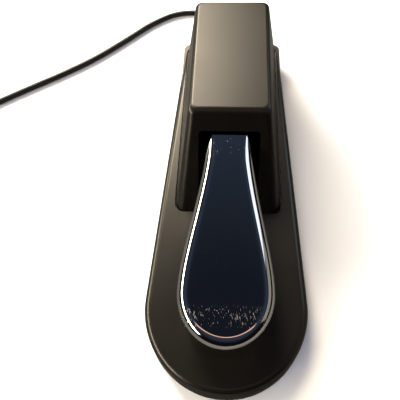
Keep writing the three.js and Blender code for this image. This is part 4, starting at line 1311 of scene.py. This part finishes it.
def grow(made: Object, tree: Tree, values: dict[str, object]) -> Object:
    """Run a Geometry Nodes tree on an object and keep its plain mesh.

    Args:
        made: The object that the tree starts from.
        tree: The tree.
        values: Input values by name.

    Returns:
        The same object, with the tree's mesh.
    """
    step = made.modifiers.new("grow", "NODES")
    step.node_group = tree
    for item in tree.interface.items_tree:
        if item.in_out == "INPUT" and item.name in values:
            step[item.identifier] = values[item.name]
    return settle(made)


def end_tree(tree: Tree, shape: Socket, finish: Socket, result: Node) -> None:
    """End a tree with real meshes and their material.

    Args:
        tree: The tree.
        shape: The geometry so far.
        finish: The material.
        result: The tree's output node.
    """
    real = add_node(tree, "GeometryNodeRealizeInstances", links={"Geometry": shape})
    dressed = add_node(tree, "GeometryNodeSetMaterial", links={
        "Geometry": real.outputs[0], "Material": finish})
    tree.links.new(dressed.outputs[0], result.inputs[0])


def screw_tree() -> Tree:
    """The tree of a cross-recessed pan-head screw at each vertex, head first along +Z, in millimetres.

    Returns:
        The tree, made once.
    """
    made = bpy.data.node_groups.get("Screws")
    if made is not None:
        return made
    sizes = ("Head Radius", "Head Height", "Shank Radius", "Shank Length", "Tilt")
    tree, given, result = node_group("Screws", sizes)
    value = given.outputs

    def turned(bottom: Socket, top: Socket, depth: Socket, low: Socket | None) -> Socket:
        """Turn a plain or tapered length of the screw.

        Args:
            bottom: Radius at its lower end.
            top: Radius at its upper end.
            depth: Its length.
            low: Height of its lower end, or None on the floor.

        Returns:
            Its mesh.
        """
        cone = add_node(tree, "GeometryNodeMeshCone", {"Vertices": 24},
                        {"Radius Top": top, "Radius Bottom": bottom, "Depth": depth})
        place = add_node(tree, COMBINE, links={"Z": low} if low is not None else {})
        return add_node(tree, "GeometryNodeTransform", links={
            "Geometry": cone.outputs["Mesh"], "Translation": place.outputs[0]}).outputs[0]

    radius, height, shank_radius = (value[label] for label in ("Head Radius", "Head Height", "Shank Radius"))
    rim = add_node(tree, MATH, {"operation": "MULTIPLY", 1: 0.45}, {0: height}).outputs[0]
    wall = add_node(tree, MATH, {"operation": "SUBTRACT"}, {0: height, 1: rim}).outputs[0]
    narrow = add_node(tree, MATH, {"operation": "MULTIPLY", 1: 0.78}, {0: radius}).outputs[0]
    point = add_node(tree, MATH, {"operation": "MULTIPLY", 1: 0.6}, {0: shank_radius}).outputs[0]
    length = add_node(tree, MATH, {"operation": "ADD", 1: 0.4}, {0: value["Shank Length"]}).outputs[0]
    root = add_node(tree, MATH, {"operation": "SUBTRACT", 1: 0.4}, {0: height}).outputs[0]
    shoulder = turned(narrow, radius, rim, None)
    disc = turned(radius, radius, wall, rim)
    shank = turned(shank_radius, point, length, root)
    solid = add_node(tree, "GeometryNodeMeshBoolean", {"operation": "UNION"})
    for piece in (shoulder, disc, shank):
        tree.links.new(piece, solid.inputs["Mesh 2"])
    arms = []
    for size in ((0.9, 3.4, 1.6), (3.4, 0.9, 1.6)):
        arms.append(add_node(tree, "GeometryNodeMeshCube", {"Size": size}).outputs["Mesh"])
    crossed = add_node(tree, "GeometryNodeMeshBoolean", {"operation": "DIFFERENCE"},
                       {"Mesh 1": solid.outputs["Mesh"]})
    for arm in arms:
        tree.links.new(arm, crossed.inputs["Mesh 2"])
    turn = add_node(tree, COMBINE, links={"X": value["Tilt"]})
    copies = add_node(tree, "GeometryNodeInstanceOnPoints", {"Scale": (MM, MM, MM)}, {
        "Points": value["Geometry"], "Instance": crossed.outputs["Mesh"], "Rotation": turn.outputs[0]})
    end_tree(tree, copies.outputs[0], value["Finish"], result)
    return tree


def grow_pips(spots: Object, radius: float, height: float) -> Object:
    """Put a low round pip under each vertex, pointing down.

    Args:
        spots: An object with one vertex at the root of each pip.
        radius: The pip's radius.
        height: How far it stands down.

    Returns:
        The same object, with the pips' mesh.
    """
    tree, given, result = node_group("Grip pips", ("Radius", "Height"))
    value = given.outputs
    small = add_node(tree, MATH, {"operation": "MULTIPLY", 1: 0.6}, {0: value["Radius"]}).outputs[0]
    down = add_node(tree, MATH, {"operation": "MULTIPLY", 1: -1.0}, {0: value["Height"]}).outputs[0]
    cone = add_node(tree, "GeometryNodeMeshCone", {"Vertices": 10}, {
        "Radius Top": value["Radius"], "Radius Bottom": small, "Depth": value["Height"]})
    shift = add_node(tree, COMBINE, links={"Z": down})
    hung = add_node(tree, "GeometryNodeTransform", links={
        "Geometry": cone.outputs["Mesh"], "Translation": shift.outputs[0]})
    copies = add_node(tree, "GeometryNodeInstanceOnPoints", links={
        "Points": value["Geometry"], "Instance": hung.outputs[0]})
    end_tree(tree, copies.outputs[0], value["Finish"], result)
    return grow(spots, tree, {
        "Radius": radius * MM, "Height": height * MM, "Finish": Stock.RUBBER.material()})


@dataclass
class Screws:
    """A row of equal screws that stand for CAD nodes whose names share a stem."""

    name: str
    stem: str
    count: int
    body: str
    slot: str
    stock: Stock
    head_radius: float = 3.1
    head_height: float = 1.4
    shank_radius: float = 1.4
    head_up: bool = False
    length: float = 0.0  # with the head; read from the CAD node's box if zero
    spots: tuple[Point, ...] = ()  # roots of the heads; read from the boxes if empty
    place: Matrix | None = None  # a transform in millimetres for given spots

    def build(self) -> Object:
        """Make the screws where their CAD nodes are.

        Returns:
            The finished piece.
        """
        nodes = [f"{self.stem}_{k + 1}" for k in range(self.count)]
        spots, length = list(self.spots), self.length
        if not spots:
            boxes = [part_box(node) for node in nodes]
            roots = [(high if self.head_up else low).z / MM for low, high in boxes]
            spots = [(*((low + high) / 2 / MM).xy, root) for (low, high), root in zip(boxes, roots)]
            length = (boxes[0][1].z - boxes[0][0].z) / MM
        made = grow(new_object(self.name, spots, []), screw_tree(), {
            "Head Radius": self.head_radius, "Head Height": self.head_height,
            "Shank Radius": self.shank_radius, "Shank Length": length - self.head_height - 0.1,
            "Tilt": math.pi if self.head_up else 0.0, "Finish": self.stock.material()})
        if self.place is not None:
            made.data.transform(in_metres(self.place))
        smooth(made)
        return fit_out(made, self.name, self.stock, self.body, self.slot, tuple(nodes))


@dataclass
class ReturnSpring:
    """The compression spring under the lever, with closed ends."""

    turns: int = 8
    wire: float = 0.9
    arm: float = 32.0  # from the pivot to the spring

    def build(self) -> Object:
        """Coil the wire between its two seats.

        Returns:
            The finished piece.
        """
        low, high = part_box("return_spring")
        radius = (high.x - low.x) / 2 / MM - self.wire
        centre = (low + high) / 2 / MM
        height = (high.z - low.z) / MM - 2 * self.wire
        tree, given, result = node_group("Coil spring", ("Turns", "Radius", "Height", "Wire"))
        value = given.outputs
        helix = add_node(tree, "GeometryNodeCurveSpiral", {"Resolution": 40}, {
            "Rotations": value["Turns"], "Start Radius": value["Radius"], "End Radius": value["Radius"],
            "Height": value["Height"]})
        section = add_node(tree, "GeometryNodeCurvePrimitiveCircle", {"Resolution": 12},
                           {"Radius": value["Wire"]})
        wire = add_node(tree, "GeometryNodeCurveToMesh", {"Fill Caps": True}, {
            "Curve": helix.outputs[0], "Profile Curve": section.outputs[0]})
        rounded = add_node(tree, "GeometryNodeSetShadeSmooth", links={"Geometry": wire.outputs[0]})
        end_tree(tree, rounded.outputs[0], value["Finish"], result)
        made = grow(new_object("spring", [(0, 0, 0)], []), tree, {
            "Turns": float(self.turns), "Radius": radius * MM, "Height": height * MM, "Wire": self.wire * MM,
            "Finish": Stock.SPRING.material()})
        made.data.transform(Matrix.Translation((centre.x * MM, centre.y * MM, low.z + self.wire * MM)))
        fit_out(made, "coil_spring", Stock.SPRING, "case", "spring_steel", ("return_spring",))
        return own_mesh(made)


# ---------------------------------------------------------------- cord


@dataclass
class CordSet:
    """The cord from its strain relief to its plug: down to the floor, round to the left, then coiled."""

    radius: float = 2.0
    length_m: float = 1.6
    coil_centre: Pair = (-191.3, 15.2)
    coil_start: float = 125.0
    coil_end: float = 195.0
    turn_radii: tuple[float, ...] = (30, 26, 22, 18, 14, 16, 20, 24, 28, 28)
    layer_low: float = 2.0
    layer_high: float = 5.46
    tie_angle: float = -35.0
    tie_width: float = 6.0
    tie_thickness: float = 0.9
    plug_z: float = 5.9
    tail: float = 34.0
    in_boot: float = 12.0  # how far the cord runs on into the plug's boot
    route: tuple[Point, ...] = (
        (0, 128, 20), (0, 134.3, 20), (0, 139, 19.2), (-0.8, 145, 15.6), (-3.2, 151, 9.6), (-7.8, 156.6, 4.4),
        (-14.2, 160.8, 2.4), (-22, 163.2, 2.1), (-31, 164, 2.1), (-40, 163.2, 2.1), (-49, 160, 2.1),
        (-57.5, 154.6, 2.1), (-66, 147.8, 2.1), (-78, 135.8, 2.1), (-91, 123.2, 2.1), (-105, 110.9, 2.1),
        (-123, 97.8, 2.1), (-142, 85.4, 2.1), (-160, 73.5, 2.1), (-178, 61, 2.1), (-194.7, 49.4, 2.1))

    def heading(self) -> Vector:
        """The direction in which the tail leaves the coil."""
        turn = math.radians(self.coil_end)
        return Vector((-math.sin(turn), math.cos(turn), 0))

    def tail_start(self) -> Vector:
        """Where the tail leaves the coil, on the plug's height."""
        turn, last = math.radians(self.coil_end), self.turn_radii[-1]
        x, y = self.coil_centre
        return Vector((x + last * math.cos(turn), y + last * math.sin(turn), self.plug_z))

    def coil_point(self, swept: float) -> Point:
        """A point of the coil's centre line.

        Args:
            swept: Degrees gone since the coil's start.

        Returns:
            The point, in millimetres.
        """
        turn, local = int(swept // 360), swept % 360
        turn = min(turn, len(self.turn_radii) - 1)
        following = min(turn + 1, len(self.turn_radii) - 1)
        step = smoothstep(298, 360, local)
        reach = mix(self.turn_radii[turn], self.turn_radii[following], step)
        upper, climbing = turn > 4, turn == 4
        z = self.layer_high if upper else self.layer_low
        over = self.layer_low + 2.05 * self.radius
        if climbing:
            z = mix(self.layer_low, over, smoothstep(225, 300, local))
        elif upper:
            crossing = max(smoothstep(275, 305, local), 1 - smoothstep(0, 25, local)) if turn < 9 else 1.0
            z = mix(self.layer_high, over, crossing)
        angle = self.coil_start + swept
        off_tie = abs((angle - self.tie_angle + 180) % 360 - 180) * math.pi / 180 * reach
        z += (self.tie_thickness + 0.35) * (1 - smoothstep(3.4, 11.0, off_tie))
        turned = math.radians(angle)
        x, y = self.coil_centre
        return (x + reach * math.cos(turned), y + reach * math.sin(turned), z)

    def line(self) -> list[Point]:
        """The whole centre line.

        Returns:
            Its points, in millimetres, from the strain relief to the plug.
        """
        knots = [Vector(p) for p in self.route] + [Vector(self.coil_point(s)) for s in (0, 8)]
        knots = [knots[0] * 2 - knots[1], *knots]
        points = []
        for a, b, c, d in zip(knots, knots[1:], knots[2:], knots[3:]):
            for k in range(4):
                t = k / 4
                bend, swing = 2 * a - 5 * b + 4 * c - d, 3 * b - a - 3 * c + d
                points.append(tuple(0.5 * (2 * b + (c - a) * t + bend * t**2 + swing * t**3)))
        total = 360 * (len(self.turn_radii) - 1) + self.coil_end - self.coil_start
        steps = 560
        points += [self.coil_point(total * k / steps) for k in range(steps + 1)]
        end, away = self.tail_start(), self.heading()
        high = points[-1][2]
        for k in range(1, 11):
            gone = (self.tail + self.in_boot) * k / 10
            spot = end + away * gone
            points.append((spot.x, spot.y, mix(high, self.plug_z, smoothstep(16, self.tail, gone))))
        return points

    def cord(self, pieces: list[Object]) -> Object:
        """Lay the cord as one curve.

        Args:
            pieces: The strain relief, the tie and the plug's pieces; not used.

        Returns:
            The finished cord.
        """
        points = self.line()
        curve = bpy.data.curves.new("cord_run", "CURVE")
        curve.dimensions, curve.use_fill_caps = "3D", True
        curve.bevel_depth, curve.bevel_resolution = self.radius * MM, 3
        spline = curve.splines.new("POLY")
        spline.points.add(len(points) - 1)
        for knot, point in zip(spline.points, points):
            knot.co = (*(MM * c for c in point), 1)
        spline.use_smooth = True
        made = link_object("cord_run", curve)
        fit_out(made, "cord_run", Stock.CORD, "case", "cord_pvc", ("cord", "cord_coil", "cord_tail"))
        real = sum(math.dist(a, b) for a, b in zip(points, points[1:])) * MM
        LOG.info("cord: %.3f m along its centre line", real)
        return made

    def strain_relief(self) -> Object:
        """Make the tapered relief: a flange inside the wall, a neck, and a sleeve with ring grooves.

        Returns:
            The finished piece.
        """
        low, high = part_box("strain_relief")
        inner, outer = low.y / MM, high.y / MM
        thick, bore = (high.x - low.x) / 2 / MM, self.radius + 0.1
        shoulder = outer - 22
        neck = thick - 0.8
        profile = [(bore, inner), (thick - 0.3, inner), (thick, inner + 0.3), (thick, inner + 1.6),
                   (neck, inner + 1.8), (neck, shoulder), (thick, shoulder), (thick, shoulder + 2.6)]
        ribs, start, end = 7, shoulder + 3.0, outer - 1.2
        for rib in range(ribs):
            at, width = mix(start, end, rib / ribs), (end - start) / ribs
            wide = mix(thick, self.radius + 1.0, rib / ribs)
            groove = mix(0.8, 0.35, rib / ribs)
            rib_profile = ((groove, 0), (groove, 0.3), (0.12, 0.4), (0, 0.55), (0.05, 0.85), (0.25, 0.97))
            profile += [(wide - cut, at + share * width) for cut, share in rib_profile]
        mouth = self.radius + 0.5
        profile += [(mouth + 0.2, end), (mouth + 0.3, outer - 0.3), (mouth, outer), (bore, outer)]
        turned = Matrix.Rotation(math.radians(-90), 4, "X")
        place = Matrix.Translation((0, 0, (low.z + high.z) / 2 / MM)) @ turned
        made = lathe("relief", profile, place, 40)
        smooth(made)
        return fit_out(made, "relief_sleeve", Stock.RUBBER, "case", "mat_rubber", ("strain_relief",))

    def tie(self) -> Object:
        """Make the hook-and-loop band round one side of the coil.

        Returns:
            The finished piece.
        """
        low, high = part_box("cord_tie")
        top, half, thick = high.z / MM + 0.7, self.tie_width / 2, self.tie_thickness
        inner, outer, corner = 10.9, 33.3, 3.2

        def loop(inset: float) -> list[Pair]:
            """The band's round-cornered loop.

            Args:
                inset: How far it is drawn in.

            Returns:
                Its points, as (distance, height).
            """
            r = corner - inset
            x0, x1, z0, z1 = inner + inset + r, outer - inset - r, inset + r, top - inset - r
            centres = ((x1, z0), (x1, z1), (x0, z1), (x0, z0))
            return [point for k, centre in enumerate(centres)
                    for point in arc(centre, (r, r), (90 * k - 90, 90 * k), 8)]

        outside, inside = loop(0), loop(thick)
        count, points = len(outside), []
        for side, line in ((-half, outside), (half, outside), (half, inside), (-half, inside)):
            points += [(x, side, z) for x, z in line]
        faces = belt(4, count, closed=True)
        turned = Matrix.Rotation(math.radians(self.tie_angle), 4, "Z")
        place = Matrix.Translation((*self.coil_centre, 0)) @ turned
        made = new_object("tie", points, faces, place)
        with editing(made) as shape:
            bmesh.ops.recalc_face_normals(shape, faces=shape.faces)
        smooth(made)
        LOG.info("tie: %.1f mm tall where the CAD one is %.1f", top, (high.z - low.z) / MM)
        return fit_out(made, "coil_tie", Stock.NYLON, "case", "switch_plastic", ("cord_tie",))

    def plug(self) -> list[Object]:
        """Make the plug's boot, fluted grip, sleeve, insulator and tip along the tail's heading.

        Returns:
            The finished pieces.
        """
        away = self.heading()
        start = self.tail_start() + away * (self.tail + 8.3)
        place = Matrix.Translation(start) @ Vector((0, 0, 1)).rotation_difference(away).to_matrix().to_4x4()
        bore, grip, jack = self.radius + 0.1, 5.8, 3.175
        boot = [(bore, -8), (2.6, -8), (2.9, -7.7)]
        boot += [(mix(2.9, 4.2, k / 6) - (0.35 if k % 2 else 0), mix(-6.6, 7.4, k / 6)) for k in range(7)]
        boot += [(4.2, 9), (4.2, 11.6), (3.9, 12), (bore, 12), (bore, -8)]
        turns = [math.radians(degrees) for degrees in (15, 40, 65, 90)]
        rounds = [(grip * 0.86 + 0.8 * math.sin(turn), 12.3 + 1.7 * (1 - math.cos(turn))) for turn in turns]
        fluted = [(grip, z) for z in (15, 16, 17, 20, 26, 32, 35, 36, 37)]
        shapes = {
            "plug_boot": (boot[:-1], Stock.PLUG, "plug_plastic", {}),
            "plug_grip": ([(0, 12.3), (grip * 0.84, 12.3), *rounds, *fluted, (grip, 38.4),
                           (grip - 0.3, 39.3), (grip - 1.1, 39.9), (grip - 1.6, 40), (0, 40)],
                          Stock.PLUG, "plug_plastic", {"flutes": 18, "flute_depth": 0.35, "fluted": (15.0, 37.0)}),
            "plug_sleeve": ([(0, 40.3), (jack + 1.2, 40.3), (jack + 1.2, 41.7), (jack + 0.9, 42),
                             (jack, 42), (jack, 61.8), (jack - 0.2, 62), (0, 62)],
                            Stock.NICKEL, "plug_nickel", {}),
            "plug_insulator": ([(0, 62.3), (jack - 0.1, 62.3), (jack - 0.1, 63.4), (0, 63.4)],
                               Stock.NYLON, "switch_plastic", {}),
            "plug_tip": ([(0, 63.7), (jack - 0.4, 63.7), (jack, 65), (jack - 0.2, 65.6),
                          (jack - 1.1, 67), (jack - 1.1, 67.6), (jack - 0.3, 69.0), (jack - 0.2, 69.6),
                          (jack - 0.7, 70.8), (1.5, 72.2), (0.8, 72.7), (0, 72.9)],
                         Stock.NICKEL, "plug_nickel", {}),
        }
        pieces = []
        for name, (profile, stock, slot, more) in shapes.items():
            made = lathe(name, profile, place, 72, **more)
            smooth(made, 40)
            pieces.append(fit_out(made, f"{name}_turned", stock, "case", slot, (name,)))
        return pieces


# ---------------------------------------------------------------- inner pieces that keep their CAD shape


@dataclass
class Mechanism:
    """The pieces inside the case, which keep their shape and get real finishes."""

    finishes: dict[str, Stock] = field(default_factory=lambda: {
        "bottom_plate": Stock.ZINC, "lever_arm": Stock.ZINC, "pivot_bracket": Stock.ZINC,
        "pivot_bush_left": Stock.ACETAL, "pivot_bush_right": Stock.ACETAL, "spring_cap": Stock.ACETAL,
        "spring_seat": Stock.ACETAL, "cable_clamp": Stock.ACETAL, "polarity_slider": Stock.ACETAL,
        "pivot_axle": Stock.SPRING, "axle_clip_left": Stock.SPRING, "axle_clip_right": Stock.SPRING,
        "down_stop_pad": Stock.RUBBER, "up_stop_pad": Stock.FELT, "circuit_board": Stock.BOARD,
        "switch_body": Stock.NYLON, "polarity_switch": Stock.NYLON, "switch_plunger": Stock.RED,
        "inner_cord": Stock.CORD, "lead_wire_left": Stock.RED, "lead_wire_right": Stock.NYLON})

    def dress(self, nodes: dict[str, Object]) -> None:
        """Give each inner piece its finish.

        Args:
            nodes: The frame's CAD nodes by name.
        """
        for name, stock in self.finishes.items():
            nodes[name].material_slots[0].material = stock.material()
        LOG.info("mechanism: %d pieces dressed", len(self.finishes))


# ---------------------------------------------------------------- studio


@dataclass(frozen=True)
class Glow:
    """A soft bright panel in the studio's surroundings, seen only as light and in reflections."""

    azimuth: float  # degrees from +Y towards +X
    elevation: float
    half_width: float  # as a share of the distance to it
    half_height: float
    softness: Pair  # of its side edges and of its upper and lower edges
    colour: str
    strength: float

    def add(self, tree: Tree, direction: Socket, under: Socket) -> Socket:
        """Add the panel to a world's colour.

        Args:
            tree: The world's nodes.
            direction: The direction looked in.
            under: The colour without the panel.

        Returns:
            The colour with it.
        """
        turn, lift = math.radians(self.azimuth), math.radians(self.elevation)
        centre = Vector((math.sin(turn) * math.cos(lift), math.cos(turn) * math.cos(lift), math.sin(lift)))
        across = Vector((math.cos(turn), -math.sin(turn), 0))
        masks = []
        upright = across.cross(centre)
        halves = (self.half_width, self.half_height)
        for axis, half, soft in zip((across, upright), halves, self.softness):
            along = add_node(tree, VECTOR_MATH, {"operation": "DOT_PRODUCT", 1: axis},
                             {0: direction}).outputs["Value"]
            away = add_node(tree, MATH, {"operation": "ABSOLUTE"}, {0: along}).outputs[0]
            masks.append(add_node(tree, RANGE, {
                "interpolation_type": "SMOOTHSTEP", "From Min": half, "From Max": half + soft,
                "To Min": 1.0, "To Max": 0.0}, {"Value": away}).outputs["Result"])
        facing = add_node(tree, VECTOR_MATH, {"operation": "DOT_PRODUCT", 1: centre},
                          {0: direction}).outputs["Value"]
        masks.append(add_node(tree, MATH, {"operation": "GREATER_THAN", 1: 0.0}, {0: facing}).outputs[0])
        both = add_node(tree, MATH, {"operation": "MULTIPLY"}, {0: masks[0], 1: masks[1]}).outputs[0]
        mask = add_node(tree, MATH, {"operation": "MULTIPLY"}, {0: both, 1: masks[2]}).outputs[0]
        tint = [self.strength * c for c in linear(self.colour)[:3]]
        light = add_node(tree, VECTOR_MATH, {"operation": "SCALE", 0: tint}, {"Scale": mask}).outputs[0]
        return add_node(tree, VECTOR_MATH, {"operation": "ADD"}, {0: under, 1: light}).outputs[0]


@dataclass
class Studio:
    """The pale floor, the dim room, its soft panels, the lamps and the camera."""

    focal_share: float = 500.22 / 400  # focal length as a share of the picture's width
    azimuth: float = -6.567
    tilt: float = 59.852
    roll: float = -4.402
    position: Point = (0.42, -162.24, 270.728)
    floor_half: float = 2600.0
    panels: tuple[Glow, ...] = (
        Glow(-20, 42, 0.08, 0.12, (0.20, 0.07), "#ffeed2", 30.0),
        Glow(-92, 28, 0.58, 0.06, (0.10, 0.04), "#ffefd2", 22.0),
        Glow(48, 37, 0.16, 0.2, (0.05, 0.05), "#f6f6ff", 2.0),
        Glow(86, 30, 0.34, 0.18, (0.06, 0.06), "#efe4cc", 0.5),
        Glow(180, 75, 0.4, 0.035, (0.05, 0.03), "#ffc2a6", 1.5),
    )

    def camera(self) -> Object:
        """Make the camera at the viewing angle.

        Returns:
            The scene's camera.
        """
        data = bpy.data.cameras.new("view")
        data.sensor_width, data.lens = 36.0, 36.0 * self.focal_share
        data.clip_start, data.clip_end = 0.01, 50.0
        made = bpy.data.objects.new("view", data)
        bpy.context.scene.collection.objects.link(made)
        turn, tilt, roll = (math.radians(a) for a in (self.azimuth, self.tilt, self.roll))
        ahead = Vector((math.sin(turn) * math.cos(tilt), math.cos(turn) * math.cos(tilt), -math.sin(tilt)))
        right = Vector((math.cos(turn), -math.sin(turn), 0))
        up = right.cross(ahead)
        across = math.cos(roll) * right + math.sin(roll) * up
        upward = -math.sin(roll) * right + math.cos(roll) * up
        axes = Matrix((across, upward, -ahead)).transposed().to_4x4()
        made.matrix_world = Matrix.Translation(Vector(self.position) * MM) @ axes
        bpy.context.scene.camera = made
        return made

    def floor(self) -> Object:
        """Make the pale floor; in reflections its colour is a painted shade, darker than the floor the camera sees.

        Returns:
            The floor.
        """
        half = self.floor_half
        corners = [(-half, -half), (half, -half), (half, half), (-half, half)]
        made = loft("studio_floor", [[(*c, -12.0) for c in corners], [(*c, 0.0) for c in corners]])
        paint = bpy.data.materials.new("Matt paper sweep")
        paint.use_nodes = True
        paint.node_tree.nodes.clear()
        tree = paint.node_tree
        path = add_node(tree, "ShaderNodeLightPath")
        # Painted shade: glossy rays see the floor in dark grey #65635e instead of its pale #f6f6f6.
        tone = add_node(tree, MIX, {"data_type": "RGBA", 6: linear("#f6f6f6"), 7: linear("#65635e")},
                        {0: path.outputs["Is Glossy Ray"]})
        matt = add_node(tree, "ShaderNodeBsdfDiffuse", {"Roughness": 0.5}, {"Color": tone.outputs[2]})
        add_node(tree, "ShaderNodeOutputMaterial", links={"Surface": matt.outputs[0]})
        made.data.materials.append(paint)
        return made

    def world(self) -> None:
        """Make the room: dim overhead, with soft panels, and pale where the camera looks past the floor."""
        room = bpy.data.worlds.new("studio")
        bpy.context.scene.world = room
        room.use_nodes = True
        room.node_tree.nodes.clear()
        tree = room.node_tree
        direction = add_node(tree, "ShaderNodeTexCoord").outputs["Generated"]
        height = add_node(tree, "ShaderNodeSeparateXYZ", links={"Vector": direction}).outputs["Z"]
        wall, ceiling, zenith = linear("#151311"), linear("#3d4654"), linear("#1d2129")
        colour = add_node(tree, "ShaderNodeValToRGB", {"stops": [
            (0.0, wall), (0.5, wall), (0.86, ceiling), (0.985, zenith)]}, {"Fac": height}).outputs["Color"]
        for panel in self.panels:
            colour = panel.add(tree, direction, colour)
        path = add_node(tree, "ShaderNodeLightPath").outputs["Is Camera Ray"]
        seen = add_node(tree, MIX, {"data_type": "RGBA", 7: linear("#f2f2f2")},
                        {0: path, 6: colour}).outputs[2]
        sky = add_node(tree, "ShaderNodeBackground", {"Strength": 1.0}, {"Color": seen})
        add_node(tree, "ShaderNodeOutputWorld", links={"Surface": sky.outputs[0]})

    def lamp(self, name: str, spot: Point, target: Point, size: Pair, watts: float,
             colour: str) -> Object:
        """Hang a soft rectangular lamp.

        Args:
            name: Its name.
            spot: Where it hangs, in millimetres.
            target: What it faces.
            size: Its width and height.
            watts: Its power.
            colour: Its colour.

        Returns:
            The lamp.
        """
        data = bpy.data.lights.new(name, "AREA")
        data.shape, data.size, data.size_y = "RECTANGLE", size[0] * MM, size[1] * MM
        data.energy, data.color = watts, linear(colour)[:3]
        made = bpy.data.objects.new(name, data)
        bpy.context.scene.collection.objects.link(made)
        made.location = Vector(spot) * MM
        made.rotation_euler = (Vector(target) - Vector(spot)).to_track_quat("-Z", "Y").to_euler()
        made.visible_camera = False
        return made

    def build(self) -> None:
        """Make the studio round the pedal."""
        scene = bpy.context.scene
        scene.view_settings.view_transform = "Standard"
        scene.view_settings.look = "None"
        self.camera()
        self.floor()
        self.world()
        # The lamps light the floor and the shadows; the room's soft panels draw the gloss.
        key = self.lamp("key", (-400, 560, 350), (0, -20, 20), (380, 380), 18.0, "#ffffff")
        fill = self.lamp("fill", (-200, -700, 900), (0, 0, 0), (700, 700), 4.0, "#e6edff")
        key.visible_glossy = fill.visible_glossy = False
        LOG.info("studio: camera, floor, room and lamps")


# ---------------------------------------------------------------- assembly


@dataclass
class Pedal:
    """The whole pedal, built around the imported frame."""

    cover_screws: list[Pair] = field(default_factory=list)
    outer_screws: list[Pair] = field(default_factory=list)

    def find_screws(self) -> None:
        """Read where the case's screws stand from the frame."""
        for names, spots in ((("base_screw", 5), self.outer_screws), (("housing_screw", 4), self.cover_screws)):
            for k in range(names[1]):
                low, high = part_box(f"{names[0]}_{k + 1}")
                centre = (low + high) / 2 / MM
                spots.append((centre.x, centre.y))

    def build(self, nodes: dict[str, Object]) -> None:
        """Build and dress every piece.

        Args:
            nodes: The frame's CAD nodes by name.
        """
        self.find_screws()
        cords = CordSet()
        pieces = [cords.strain_relief(), cords.tie(), *cords.plug()]
        cords.cord(pieces)
        housing = Housing(screws=self.cover_screws)
        base = BaseCase(outer_screws=self.outer_screws, cover_screws=self.cover_screws)
        base.shell(housing)
        base.mat()
        housing.cover()
        lever = Lever()
        lever.cap()
        ReturnSpring().build()
        Screws("base_screws", "base_screw", 5, "case", "screw_steel", Stock.SCREW).build()
        Screws("housing_screws", "housing_screw", 4, "case", "screw_steel", Stock.SCREW).build()
        Screws("bracket_screws", "bracket_screw", 4, "case", "screw_brass", Stock.BRASS, head_radius=2.4,
               head_up=True).build()
        roots = tuple((0.0, y, lever.screw_root) for y in lever.screws)
        Screws("lever_screws", "lever_screw", 2, "lever", "screw_steel", Stock.SCREW, length=10.4, spots=roots,
               place=lever.place).build()
        Mechanism().dress(nodes)


def main() -> None:
    """Load the frame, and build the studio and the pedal."""
    logging.basicConfig(level=logging.INFO, format="%(name)s %(message)s")
    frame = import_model()
    Studio().build()
    Pedal().build(frame["nodes"])


if __name__ == "__main__":
    main()
